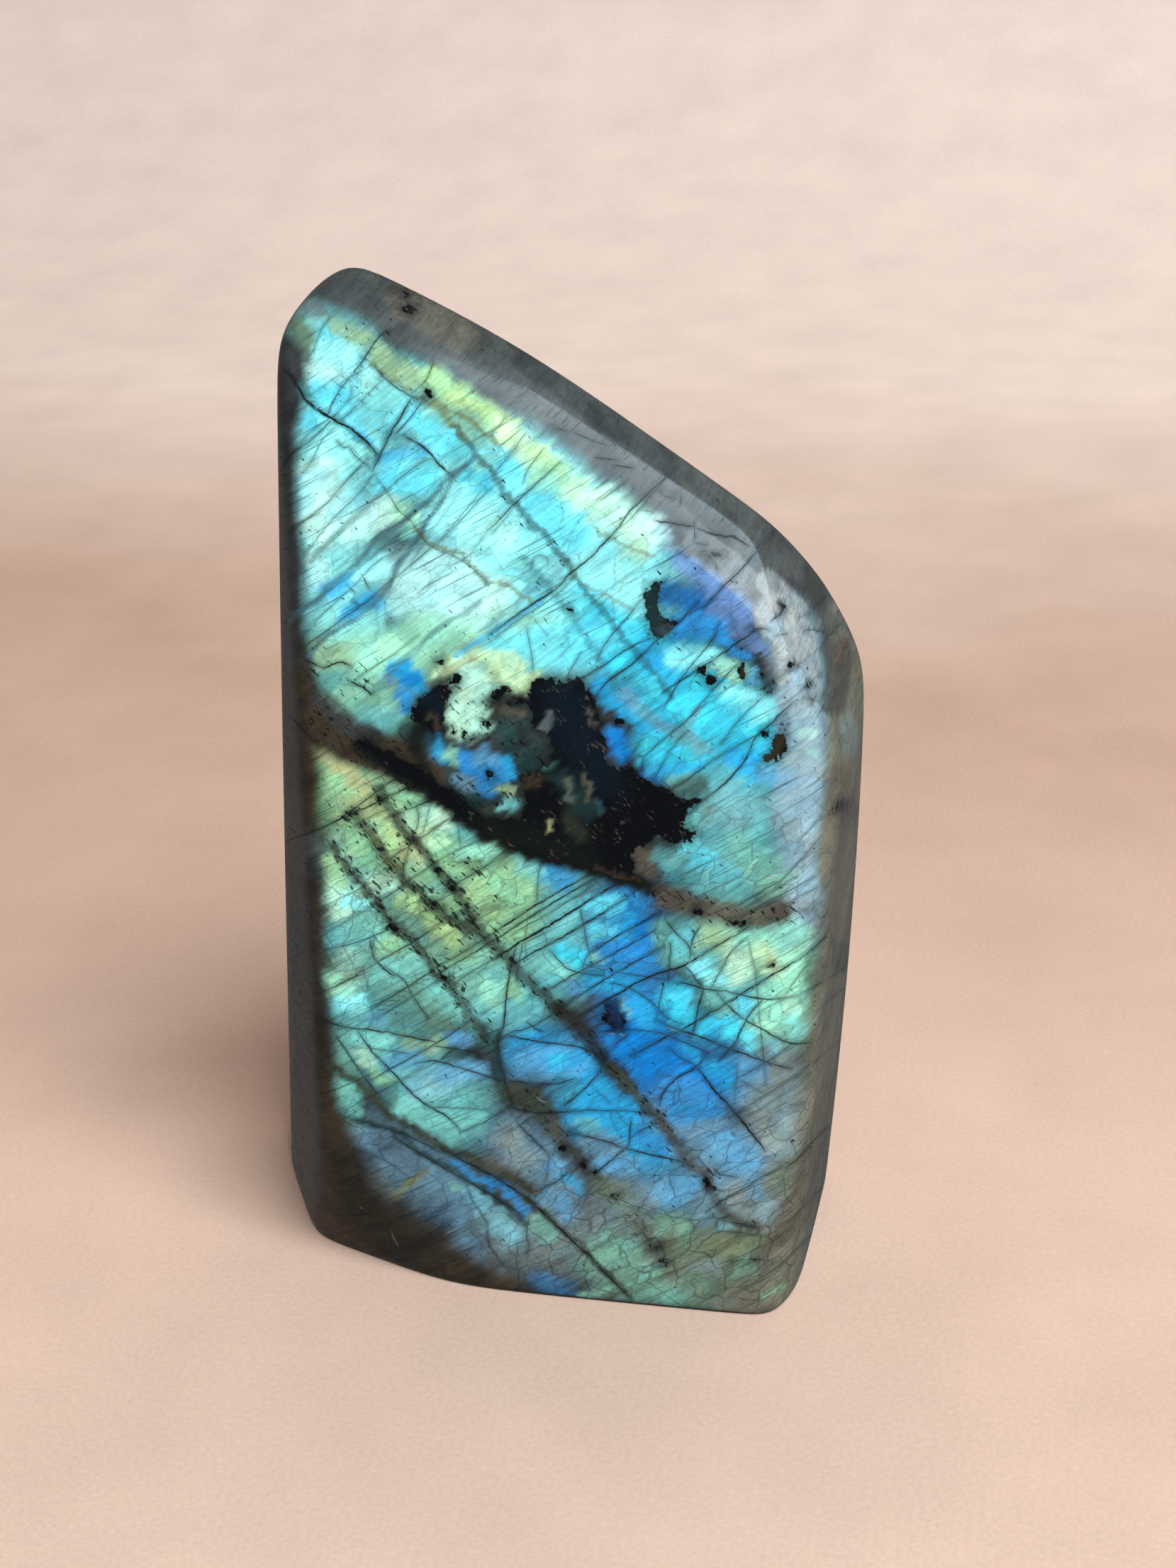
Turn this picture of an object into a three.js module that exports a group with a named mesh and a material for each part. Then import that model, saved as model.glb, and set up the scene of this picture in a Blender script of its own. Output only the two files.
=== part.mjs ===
// A polished labradorite freeform: one piece of feldspar, sawn flat underneath, ground to a nearly
// flat display face with soft facets all round it and a domed back, and stood on its sawn base.
// Millimetres, +Z up, +X to the right of the display face, -Y towards the viewer. The origin is on
// the base's plane, under the middle of the stone's box.
import * as THREE from "three";
import { mergeVertices } from "three/addons/utils/BufferGeometryUtils.js";

// Driving dimensions. The heart is the point inside the stone that each facet is measured from.
const heartHeight = 58;
const blank = { width: 76, depth: 40, height: 150 }; // the sawn block around the heart
const steps = { width: 24, depth: 13, height: 37 }; // how finely the block's faces are divided
const edgeSoftness = 1.0; // how far grinding has blended one facet into the next
const plane = 1e6; // a crown radius too large to see

// Every facet the wheel has ground. turn is the compass direction it faces, 0 for the viewer and 90
// for +X; lift is how far it looks up; reach is its distance from the heart; and crown is the radius
// of the slight dome on it.
const facets = {
  displayFace: { turn: 0, lift: 4, reach: 17, crown: 1500 },
  back: { turn: 180, lift: 8, reach: 18, crown: 160 },
  leftSide: { turn: -92, lift: 6.3, reach: 28.2, crown: 4000 },
  rightSide: { turn: 88, lift: -1.9, reach: 38.9, crown: 1500 },
  slantedTop: { turn: 84, lift: 55.7, reach: 44.2, crown: 1500 },
  rightCheek: { turn: 85, lift: 24.8, reach: 41.1, crown: plane },
  leftShoulder: { turn: -85, lift: 37.6, reach: 51.4, crown: plane },
  crown: { turn: -80, lift: 63.3, reach: 62.1, crown: plane },
  topBevel: { turn: 48.5, lift: 46.8, reach: 42.6, crown: plane },
  rightBevel: { turn: 45, lift: 2, reach: 37, crown: plane },
  leftBevel: { turn: -61.6, lift: 2, reach: 26, crown: plane },
  footLeft: { turn: -20, lift: -14.6, reach: 34.5, crown: plane },
  footRight: { turn: 60, lift: -9.3, reach: 47.2, crown: plane },
  backSlope: { turn: 135, lift: 45, reach: 39.2, crown: plane },
  backRight: { turn: 135, lift: 5, reach: 44.9, crown: plane },
  backLeft: { turn: -135, lift: 5, reach: 34, crown: plane },
  backCrown: { turn: -150, lift: 50, reach: 56, crown: plane },
};

function facing({ turn, lift }) {
  const [a, e] = [THREE.MathUtils.degToRad(turn), THREE.MathUtils.degToRad(lift)];
  return new THREE.Vector3(Math.sin(a) * Math.cos(e), -Math.cos(a) * Math.cos(e), Math.sin(e));
}

const ground = Object.values(facets).map((facet) => ({ ...facet, normal: facing(facet) }));

// How far a point, measured from the heart, lies outside the ground stone, negative inside it. The
// logarithm blends neighbouring facets, so that no edge between two of them stays sharp.
function outside(point) {
  let sum = 0;
  for (const { normal, reach, crown } of ground) {
    const along = point.dot(normal);
    const drop = (point.lengthSq() - along * along) / (2 * crown);
    sum += Math.exp((along - reach + drop) / edgeSoftness);
  }
  return edgeSoftness * Math.log(sum);
}

// The point where a line from inside the stone comes out through its ground surface.
function surfacePoint(start, direction) {
  const step = direction.clone().normalize();
  let [near, far] = [0, blank.height];
  for (let halving = 0; halving < 40; halving += 1) {
    const middle = (near + far) / 2;
    const inside = outside(start.clone().addScaledVector(step, middle)) < 0;
    [near, far] = inside ? [middle, far] : [near, middle];
  }
  return start.clone().addScaledVector(step, near);
}

// Grinds one point of the block, whose coordinates run from -1 to 1 each way, to its place on the
// stone. The bottom is the sawn base; a wall point's line runs between the base's rim and the top
// edge of the block, so the rim stays a clean edge.
function grind(x, y, z) {
  const baseCentre = new THREE.Vector3(0, 0, -heartHeight);
  const half = new THREE.Vector3(blank.width, blank.depth, blank.height).divideScalar(2);
  const ring = Math.max(Math.abs(x), Math.abs(y));
  const outwards = new THREE.Vector3(x * half.x, y * half.y, 0);
  if (z === 1) return surfacePoint(new THREE.Vector3(), outwards.setZ(half.z));
  if (ring === 0) return baseCentre;
  const rim = surfacePoint(baseCentre, outwards);
  if (z === -1) return baseCentre.lerp(rim, ring);
  const topEdge = outwards.clone().setZ(half.z);
  return surfacePoint(new THREE.Vector3(), rim.lerp(topEdge, (z + 1) / 2));
}

// Each face of the block's grid is two triangles. On a stone with no hollows the edge between them
// has to stand proud, so where it would sink in, the face is split along its other diagonal.
function raiseDiagonals(geometry) {
  const index = geometry.index.array;
  const corner = (i) => new THREE.Vector3().fromBufferAttribute(geometry.attributes.position, i);
  for (let i = 0; i < index.length; i += 6) {
    const [a, b, d, , c] = index.slice(i, i + 6);
    const side = new THREE.Plane().setFromCoplanarPoints(corner(a), corner(b), corner(d));
    if (side.distanceToPoint(corner(c)) > 0) index.set([a, b, c, a, c, d], i);
  }
}

function stoneGeometry() {
  const raw = new THREE.BoxGeometry(2, 2, 2, steps.width, steps.depth, steps.height);
  raw.deleteAttribute("normal");
  raw.deleteAttribute("uv");
  const geometry = mergeVertices(raw, 1e-5);
  const corners = geometry.attributes.position;
  for (let i = 0; i < corners.count; i += 1) {
    const point = grind(corners.getX(i), corners.getY(i), corners.getZ(i));
    corners.setXYZ(i, point.x, point.y, point.z + heartHeight);
  }
  raiseDiagonals(geometry);
  geometry.computeBoundingBox();
  const { min, max } = geometry.boundingBox;
  geometry.translate(-(min.x + max.x) / 2, -(min.y + max.y) / 2, 0);
  geometry.computeVertexNormals();
  return geometry;
}

const polishedStone = new THREE.MeshStandardMaterial({
  color: new THREE.Color(0x3f6f78),
  roughness: 0.1,
  metalness: 0,
});

const stone = new THREE.Mesh(stoneGeometry(), polishedStone);
stone.name = "labradorite_stone";

const freeform = new THREE.Group();
freeform.add(stone);

export default freeform;
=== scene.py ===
import math

import bmesh
import bpy
import numpy as np
from mathutils import Matrix, Vector, noise


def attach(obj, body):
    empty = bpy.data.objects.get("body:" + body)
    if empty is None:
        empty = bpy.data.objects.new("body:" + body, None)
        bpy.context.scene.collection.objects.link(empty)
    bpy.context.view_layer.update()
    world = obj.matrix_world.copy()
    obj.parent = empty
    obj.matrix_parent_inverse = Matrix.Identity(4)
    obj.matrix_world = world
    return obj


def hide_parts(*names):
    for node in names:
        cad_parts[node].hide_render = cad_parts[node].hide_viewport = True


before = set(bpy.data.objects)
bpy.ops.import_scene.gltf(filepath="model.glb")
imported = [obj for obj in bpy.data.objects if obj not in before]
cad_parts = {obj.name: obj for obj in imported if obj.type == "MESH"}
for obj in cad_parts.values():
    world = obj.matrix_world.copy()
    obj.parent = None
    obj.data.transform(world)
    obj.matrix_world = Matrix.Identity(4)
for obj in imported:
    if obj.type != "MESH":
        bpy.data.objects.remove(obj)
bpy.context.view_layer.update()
scene = bpy.context.scene
mm = 0.001
print("frame loaded")

# The camera, fitted to the outline of the stone in the photograph.
photo = {"width": 1659, "height": 2212}
camera = {
    "target": (-2.762, 0.257, 58.0),  # the stone's heart, mm
    "turn": 12.0,  # degrees round from straight in front, towards +X
    "lift": 25.0,  # degrees above the horizon
    "roll": -1.55,
    "distance": 275.15,  # mm from the heart, along the view
    "slide": (8.36, -0.1),  # mm to the right and up
    "lens": 54.07,
    "sensor": 36.0,
}


def cameraAxes():
    turn = math.radians(camera["turn"])
    lift = math.radians(camera["lift"])
    roll = math.radians(camera["roll"])
    back = Vector((math.sin(turn) * math.cos(lift), -math.cos(turn) * math.cos(lift), math.sin(lift)))
    level = Vector((math.cos(turn), math.sin(turn), 0))
    upright = back.cross(level)
    right = level * math.cos(roll) + upright * math.sin(roll)
    up = upright * math.cos(roll) - level * math.sin(roll)
    slideRight, slideUp = camera["slide"]
    place = Vector(camera["target"]) + back * camera["distance"] + right * slideRight + up * slideUp
    return place, right, up, back


def makeCamera():
    place, right, up, back = cameraAxes()
    data = bpy.data.cameras.new("photoCamera")
    data.lens = camera["lens"]
    data.sensor_width = camera["sensor"]
    data.clip_start = 0.01
    data.clip_end = 20
    eye = bpy.data.objects.new("photoCamera", data)
    turned = Matrix((right, up, back)).transposed().to_4x4()
    eye.matrix_world = Matrix.Translation(place * mm) @ turned
    scene.collection.objects.link(eye)
    scene.camera = eye


makeCamera()
print("camera placed")


class Recipe:
    # A short way to write a material's nodes. A socket is named, or i and its number.
    def __init__(self, tree):
        self.tree = tree

    def add(self, kind, settings=None, **sockets):
        node = self.tree.nodes.new(kind)
        for name, value in (settings or {}).items():
            setattr(node, name, value)
        for name, value in sockets.items():
            number = name[0] == "i" and name[1:].isdigit()
            socket = node.inputs[int(name[1:])] if number else node.inputs[name]
            self.feed(socket, value)
        return node

    def feed(self, socket, value):
        if isinstance(value, bpy.types.NodeSocket):
            self.tree.links.new(value, socket)
        else:
            socket.default_value = value

    def math(self, operation, first, second=0.0, third=0.0):
        kind = {"operation": operation}
        return self.add("ShaderNodeMath", kind, i0=first, i1=second, i2=third).outputs[0]

    def span(self, value, low, high, start=0.0, end=1.0, smooth=True):
        kind = {"interpolation_type": "SMOOTHSTEP" if smooth else "LINEAR"}
        node = self.add("ShaderNodeMapRange", kind, Value=value)
        ends = {"From Min": low, "From Max": high, "To Min": start, "To Max": end}
        for name, number in ends.items():
            self.feed(node.inputs[name], number)
        return node.outputs["Result"]

    def blend(self, share, first, second, kind="MIX"):
        settings = {"data_type": "RGBA", "blend_type": kind}
        return self.add("ShaderNodeMix", settings, i0=share, i6=first, i7=second).outputs[2]

    def scaled(self, tone, shade):
        return self.add("ShaderNodeVectorMath", {"operation": "SCALE"}, i0=tone, Scale=shade).outputs[0]

    def stored(self, name):
        return self.add("ShaderNodeAttribute", {"attribute_name": name})

    def laid(self, place, tilt, size):
        # Coordinates that run along the lamellae, 1 to each size.
        node = self.add("ShaderNodeMapping", {"vector_type": "TEXTURE"}, Vector=place)
        node.inputs["Rotation"].default_value = tilt
        node.inputs["Scale"].default_value = size
        return node.outputs[0]

    def noise(self, place, scale=1.0, detail=3.0, roughness=0.6):
        kind = "ShaderNodeTexNoise"
        return self.add(kind, None, Vector=place, Scale=scale, Detail=detail, Roughness=roughness)

    def plates(self, place, tilt, size):
        # A random colour for each plate, and the distance to its edge.
        spot = self.laid(place, tilt, size)
        kind = "ShaderNodeTexVoronoi"
        cells = self.add(kind, None, Vector=spot, Scale=1.0)
        edges = self.add(kind, {"feature": "DISTANCE_TO_EDGE"}, Vector=spot, Scale=1.0)
        parts = self.add("ShaderNodeSeparateColor", None, i0=cells.outputs["Color"])
        return parts.outputs, edges.outputs["Distance"]


# The studio: one seamless sheet for floor and wall, and soft lights.
studio = {
    "floorFront": -1.6,  # metres from the stone's middle
    "sweepStart": 0.42,
    "sweepRadius": 0.35,
    "sweepSteps": 12,
    "wallTop": 2.0,
    "halfWidth": 2.2,
    "floorTone": (0.655, 0.484, 0.396),
    "creaseShadeTone": (0.475, 0.322, 0.246),
    "wallTone": (0.74, 0.620, 0.550),
    "creaseShadeAt": 0.17,  # metres behind the stone, where a painted shade, standing in for the crease between floor and wall, is darkest
    "wallAt": 0.40,
    "aimHeight": 0.06,  # metres up the stone, where the lights point
    "worldTone": (0.95, 0.92, 0.90),
    "worldStrength": 0.10,
}

# Each light hangs away metres from the stone, on the side that from points to, and spin turns it
# round the line between them. Its size is in metres and its power in watts.
softboxes = {
    "window": {"from": (0.774, 0.196, 0.602), "away": 1.16, "size": (1.85, 1.04), "power": 13.5,
               "spin": -16, "tone": (0.68, 0.88, 1.0)},
    "frontFill": {"from": (0.42, -0.42, 0.80), "away": 1.6, "size": (0.9, 0.8), "power": 40.0,
                  "spin": 0, "tone": (0.94, 0.98, 1.0)},
    "backGlow": {"from": (-0.45, 0.40, 0.80), "away": 1.2, "size": (1.0, 0.7), "power": 1.6,
                 "spin": 0, "tone": (1.0, 0.74, 0.62)},
}

# The sheet's paper. Each scale counts patches to a metre.
paper = {
    "roughness": 0.75,
    "specular": 0.25,
    "cloudScale": 7,
    "cloudDrift": 0.22,  # metres by which clouds shift the sheet's tones
    "mottleScale": 45,
    "grainScale": 1600,
    "shades": (0.6, 1.4, 0.90, 1.08),  # from the least and most of both, to darker and lighter
    "toothStrength": 0.25,
    "toothDepth": 0.0002,
}


def paperMaterial():
    material = bpy.data.materials.new("paperWithCreaseShade")
    material.use_nodes = True
    recipe = Recipe(material.node_tree)
    shader = material.node_tree.nodes["Principled BSDF"]
    shader.inputs["Roughness"].default_value = paper["roughness"]
    shader.inputs["Specular IOR Level"].default_value = paper["specular"]
    place = recipe.add("ShaderNodeTexCoord").outputs["Object"]
    depth = recipe.add("ShaderNodeSeparateXYZ", None, i0=place).outputs["Y"]
    cloud = recipe.noise(place, paper["cloudScale"], 4, 0.5).outputs["Fac"]
    drifted = recipe.math("MULTIPLY_ADD", cloud, paper["cloudDrift"], depth)
    tones = recipe.add("ShaderNodeValToRGB", None, Fac=drifted)
    ramp = tones.color_ramp
    ramp.elements[0].position = 0.0
    ramp.elements[0].color = (*studio["floorTone"], 1)
    ramp.elements[1].position = 1.0
    ramp.elements[1].color = (*studio["wallTone"], 1)
    # The ramp goes from the floor's tone to a painted crease shade, then lightens toward the wall.
    for spot in ("creaseShade", "wall"):
        stop = ramp.elements.new(studio[spot + "At"] + paper["cloudDrift"] / 2)
        stop.color = (*studio[spot + "Tone"], 1)
    grain = recipe.noise(place, paper["grainScale"], 2, 0.5).outputs["Fac"]
    mottle = recipe.noise(place, paper["mottleScale"], 5, 0.5).outputs["Fac"]
    shade = recipe.span(recipe.math("ADD", grain, mottle), *paper["shades"], False)
    tinted = recipe.scaled(tones.outputs["Color"], shade)
    recipe.feed(shader.inputs["Base Color"], tinted)
    tooth = recipe.add("ShaderNodeBump", None, Strength=paper["toothStrength"],
                       Distance=paper["toothDepth"], Height=grain)
    recipe.feed(shader.inputs["Normal"], tooth.outputs["Normal"])
    return material


def makeBackdrop():
    mesh = bpy.data.meshes.new("backdrop")
    bm = bmesh.new()
    start = studio["sweepStart"]
    radius = studio["sweepRadius"]
    route = [(studio["floorFront"], 0.0), (start, 0.0)]
    for step in range(1, studio["sweepSteps"] + 1):
        angle = math.radians(90 * step / studio["sweepSteps"])
        route.append((start + radius * math.sin(angle), radius - radius * math.cos(angle)))
    route.append((start + radius, studio["wallTop"]))
    line = [bm.verts.new((-studio["halfWidth"], y, z)) for y, z in route]
    edges = [bm.edges.new(pair) for pair in zip(line, line[1:])]
    swept = bmesh.ops.extrude_edge_only(bm, edges=edges)
    moved = [item for item in swept["geom"] if isinstance(item, bmesh.types.BMVert)]
    bmesh.ops.translate(bm, verts=moved, vec=(2 * studio["halfWidth"], 0, 0))
    bmesh.ops.recalc_face_normals(bm, faces=bm.faces)
    for face in bm.faces:
        face.smooth = True
    bm.to_mesh(mesh)
    bm.free()
    sheet = bpy.data.objects.new("backdrop", mesh)
    sheet.data.materials.append(paperMaterial())
    scene.collection.objects.link(sheet)
    sheet.visible_glossy = False  # the polished edges mirror a dark room instead, as in the photograph, and the sheet's reflection in the flanks is painted into their colours


def makeLights():
    for name, box in softboxes.items():
        data = bpy.data.lights.new(name, "AREA")
        data.shape = "RECTANGLE"
        data.size, data.size_y = box["size"]
        data.energy = box["power"]
        data.color = box["tone"]
        lamp = bpy.data.objects.new(name, data)
        aim = Vector(box["from"]).normalized()
        lamp.location = Vector((0, 0, studio["aimHeight"])) + aim * box["away"]
        spin = Matrix.Rotation(math.radians(box["spin"]), 3, "Z")
        lamp.rotation_euler = (aim.to_track_quat("Z", "Y").to_matrix() @ spin).to_euler()
        lamp.visible_glossy = name == "window"  # only the window is mirrored in the polish
        lamp.visible_diffuse = name != "window"
        scene.collection.objects.link(lamp)
    world = bpy.data.worlds.new("softRoom")
    world.use_nodes = True
    sky = world.node_tree.nodes["Background"]
    sky.inputs["Color"].default_value = (*studio["worldTone"], 1)
    sky.inputs["Strength"].default_value = studio["worldStrength"]
    scene.world = world
    scene.view_settings.view_transform = "Standard"


makeBackdrop()
makeLights()
print("studio lit")

# The stone's shape: the facets that the wheel ground, as in the part's source. turn is the compass
# direction that a facet faces, 0 for the viewer and 90 for +X, lift is how far it looks up, reach
# its distance from the heart, and crown the radius of the slight dome on it, all in mm and degrees.
flat = 1e6  # the crown of a facet without a dome
stone = {
    "heart": (-2.7601, 0.2541, 58.0),
    "softness": 0.9,  # how far polishing has rolled one facet into the next
    "rimSoftness": 0.3,  # and how far it has eased the rim of the sawn base
    "facets": {
        "displayFace": (0, 4, 17, 1500),
        "back": (180, 8, 18, 160),
        "leftSide": (-92, 6.3, 28.2, 4000),
        "rightSide": (88, -1.9, 38.9, 1500),
        "slantedTop": (84, 55.7, 44.2, 1500),
        "rightCheek": (85, 24.8, 41.1, flat),
        "leftShoulder": (-85, 37.6, 51.4, flat),
        "crown": (-80, 63.3, 62.1, flat),
        "topBevel": (48.5, 46.8, 42.6, flat),
        "rightBevel": (45, 2, 37, flat),
        "leftBevel": (-61.6, 2, 26, flat),
        "footLeft": (-20, -14.6, 34.5, flat),
        "footRight": (60, -9.3, 47.2, flat),
        "backSlope": (135, 45, 39.2, flat),
        "backRight": (135, 5, 44.9, flat),
        "backLeft": (-135, 5, 34, flat),
        "backCrown": (-150, 50, 56, flat),
    },
    "baseReach": 58,
    "finestFacing": 0.6,  # faces turned this far to the camera are divided once more
    "coarsestFacing": -0.35,  # and faces turned this far away once less
    "polishRounds": 4,
}


def facetTable():
    rows = np.array(list(stone["facets"].values()), dtype=float)
    turn = np.radians(rows[:, 0])
    lift = np.radians(rows[:, 1])
    normals = np.stack((np.sin(turn) * np.cos(lift), -np.cos(turn) * np.cos(lift), np.sin(lift)), 1)
    return normals, rows[:, 2], rows[:, 3]


def blended(values, softness):
    # The largest of several distances, blended where two are close, and each one's share in it.
    top = values.max(1, keepdims=True)
    share = np.exp((values - top) / softness)
    total = share.sum(1, keepdims=True)
    return (top + softness * np.log(total))[:, 0], share / total


def groundSurface(points):
    # How far points, in mm from the heart, lie outside the stone, and which way is straight out.
    normals, reach, crown = facetTable()
    along = points @ normals.T
    drop = ((points**2).sum(1)[:, None] - along**2) / (2 * crown)
    wall, share = blended(along - reach + drop, stone["softness"])
    across = points[:, None, :] - along[:, :, None] * normals
    ways = normals + across / crown[:, None]
    wallSlope = (share[:, :, None] * ways).sum(1)
    base = -points[:, 2] - stone["baseReach"]
    distance, share = blended(np.stack((wall, base), 1), stone["rimSoftness"])
    slope = share[:, :1] * wallSlope - share[:, 1:] * (0, 0, 1)
    return distance, slope


def cutStone():
    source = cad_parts["labradorite_stone"]
    bm = bmesh.new()
    bm.from_mesh(source.data)
    bmesh.ops.remove_doubles(bm, verts=bm.verts, dist=1e-6)
    back = cameraAxes()[3]
    everyFace = -2.0
    for limit in (everyFace, stone["coarsestFacing"], stone["finestFacing"]):
        bm.normal_update()
        chosen = [face for face in bm.faces if face.normal.dot(back) > limit]
        edges = list({edge for face in chosen for edge in face.edges})
        bmesh.ops.subdivide_edges(bm, edges=edges, cuts=1, use_grid_fill=True)
        bmesh.ops.triangulate(bm, faces=[face for face in bm.faces if len(face.verts) > 3])
    mesh = bpy.data.meshes.new("polishedStone")
    bm.to_mesh(mesh)
    bm.free()
    return mesh


def pointValues(mesh, field):
    # The places or the normals of a mesh's points, a row for each.
    values = np.empty(len(mesh.vertices) * 3, dtype=np.float32)
    mesh.vertices.foreach_get(field, values)
    return values.reshape(-1, 3)


def polishStone(mesh):
    # Moves every point onto the ground surface, which rolls the facets into each other.
    heart = np.array(stone["heart"])
    points = pointValues(mesh, "co").astype(float) / mm - heart
    for _ in range(stone["polishRounds"]):
        distance, slope = groundSurface(points)
        points -= slope * (distance / (slope**2).sum(1))[:, None]
    points += heart
    points[:, 2] = np.maximum(points[:, 2], 0)
    mesh.vertices.foreach_set("co", (points * mm).astype(np.float32).ravel())
    mesh.update()
    mesh.polygons.foreach_set("use_smooth", np.ones(len(mesh.polygons), dtype=bool))
    return points


stoneMesh = cutStone()
stonePoints = polishStone(stoneMesh)
print("stone polished:", len(stoneMesh.polygons), "faces")

# The stone's markings, traced on the photograph. Every place and width is in its pixels.
palette = {
    "pearl": (188, 252, 250), "iceWhite": (166, 248, 248), "iceCyan": (140, 238, 246),
    "cyan": (98, 220, 244), "brightCyan": (60, 208, 242), "azure": (40, 166, 226),
    "skyBlue": (94, 164, 210), "paleSky": (122, 188, 206), "blue": (42, 138, 206),
    "vividBlue": (8, 130, 214), "deepBlue": (22, 90, 150), "navy": (10, 44, 84),
    "lavender": (106, 148, 208), "mint": (158, 236, 210), "glacier": (184, 240, 218),
    "limeMilk": (186, 232, 192), "lime": (164, 208, 152), "sage": (146, 186, 148),
    "paleGreen": (144, 206, 162), "seafoam": (122, 184, 166), "moss": (92, 112, 86),
    "gold": (176, 186, 140), "tan": (158, 156, 116), "olive": (112, 122, 84),
    "aqua": (118, 204, 202), "turquoise": (104, 188, 194), "teal": (58, 130, 144),
    "seaTeal": (92, 158, 150), "steel": (98, 140, 166), "slate": (66, 86, 98),
    "dusk": (60, 98, 112), "silver": (126, 146, 150), "pewter": (110, 130, 134),
    # The first tone on the next line is the grey of a painted reflection of the window on the bevel.
    "windowReflection": (144, 153, 158), "mist": (144, 174, 188), "greyGreen": (112, 132, 114),
    "ash": (104, 106, 93), "flint": (62, 68, 68), "clay": (80, 77, 67), "smoke": (48, 55, 57),
    "chestnut": (78, 58, 48), "umber": (70, 60, 46), "peat": (54, 48, 38),
    "darkMoss": (52, 62, 52), "inkTeal": (32, 60, 62), "bark": (32, 34, 30),
    "charcoal": (18, 24, 22), "inkNavy": (8, 26, 40), "pitch": (3, 7, 13),
}

# Brush strokes, in the order they are laid: tone, half width, strength, path.
flashWashes = [
    ("smoke", 500, 1.0, [(800, 400), (800, 1850)]),
    # The bright upper half.
    ("iceCyan", 105, 1.0, [(470, 480), (462, 620), (470, 760), (490, 870)]),
    ("iceCyan", 120, 1.0, [(560, 580), (640, 700), (720, 800), (800, 880)]),
    ("iceCyan", 105, 1.0, [(720, 660), (810, 740), (890, 820)]),
    ("brightCyan", 100, 0.9, [(850, 870), (930, 940), (1010, 1010), (1060, 1060)]),
    ("mint", 75, 0.9, [(490, 930), (570, 920), (650, 880), (740, 900)]),
    ("seafoam", 50, 0.9, [(470, 940), (510, 985), (560, 1010)]),
    ("turquoise", 95, 1.0, [(980, 1120), (1050, 1160), (1020, 1220)]),
    # The upper end of this mist wash is partly a painted reflection of the window over the silver
    # flash.
    ("mist", 60, 0.95, [(1120, 880), (1135, 1000), (1135, 1120), (1128, 1230), (1122, 1300)]),
    # The lower half, green on the left, blue in the middle and grey on the right.
    ("paleGreen", 95, 1.0, [(480, 1100), (580, 1180), (660, 1250), (730, 1280)]),
    ("seafoam", 100, 1.0, [(490, 1260), (540, 1330), (620, 1380), (700, 1370)]),
    ("turquoise", 75, 1.0, [(790, 1240), (800, 1310), (770, 1380), (700, 1420)]),
    ("turquoise", 85, 0.9, [(500, 1440), (590, 1520), (650, 1570)]),
    ("blue", 80, 0.9, [(880, 1290), (890, 1390), (920, 1450)]),
    ("turquoise", 65, 0.9, [(980, 1330), (1030, 1400), (1050, 1460)]),
    ("mint", 70, 0.9, [(1040, 1320), (1100, 1360), (1100, 1430)]),
    ("vividBlue", 80, 1.0, [(890, 1460), (930, 1510), (990, 1530)]),
    ("azure", 60, 0.9, [(750, 1480), (810, 1500)]),
    ("azure", 75, 0.9, [(830, 1550), (880, 1590), (920, 1620)]),
    ("steel", 80, 0.95, [(960, 1580), (1040, 1640), (1000, 1690)]),
    ("silver", 70, 0.85, [(1095, 1520), (1105, 1600), (1075, 1700)]),
    ("slate", 90, 1.0, [(520, 1620), (600, 1690), (660, 1750)]),
    ("steel", 60, 0.8, [(530, 1610), (600, 1650), (650, 1690)]),
    ("steel", 65, 0.9, [(720, 1610), (790, 1670)]),
    ("pewter", 95, 0.95, [(740, 1740), (840, 1750), (930, 1770)]),
    ("seafoam", 60, 0.5, [(850, 1780), (920, 1810), (980, 1820)]),
    ("steel", 60, 0.7, [(880, 1680), (950, 1690)]),
    ("greyGreen", 85, 0.95, [(960, 1760), (1040, 1770), (1060, 1820)]),
]

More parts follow.
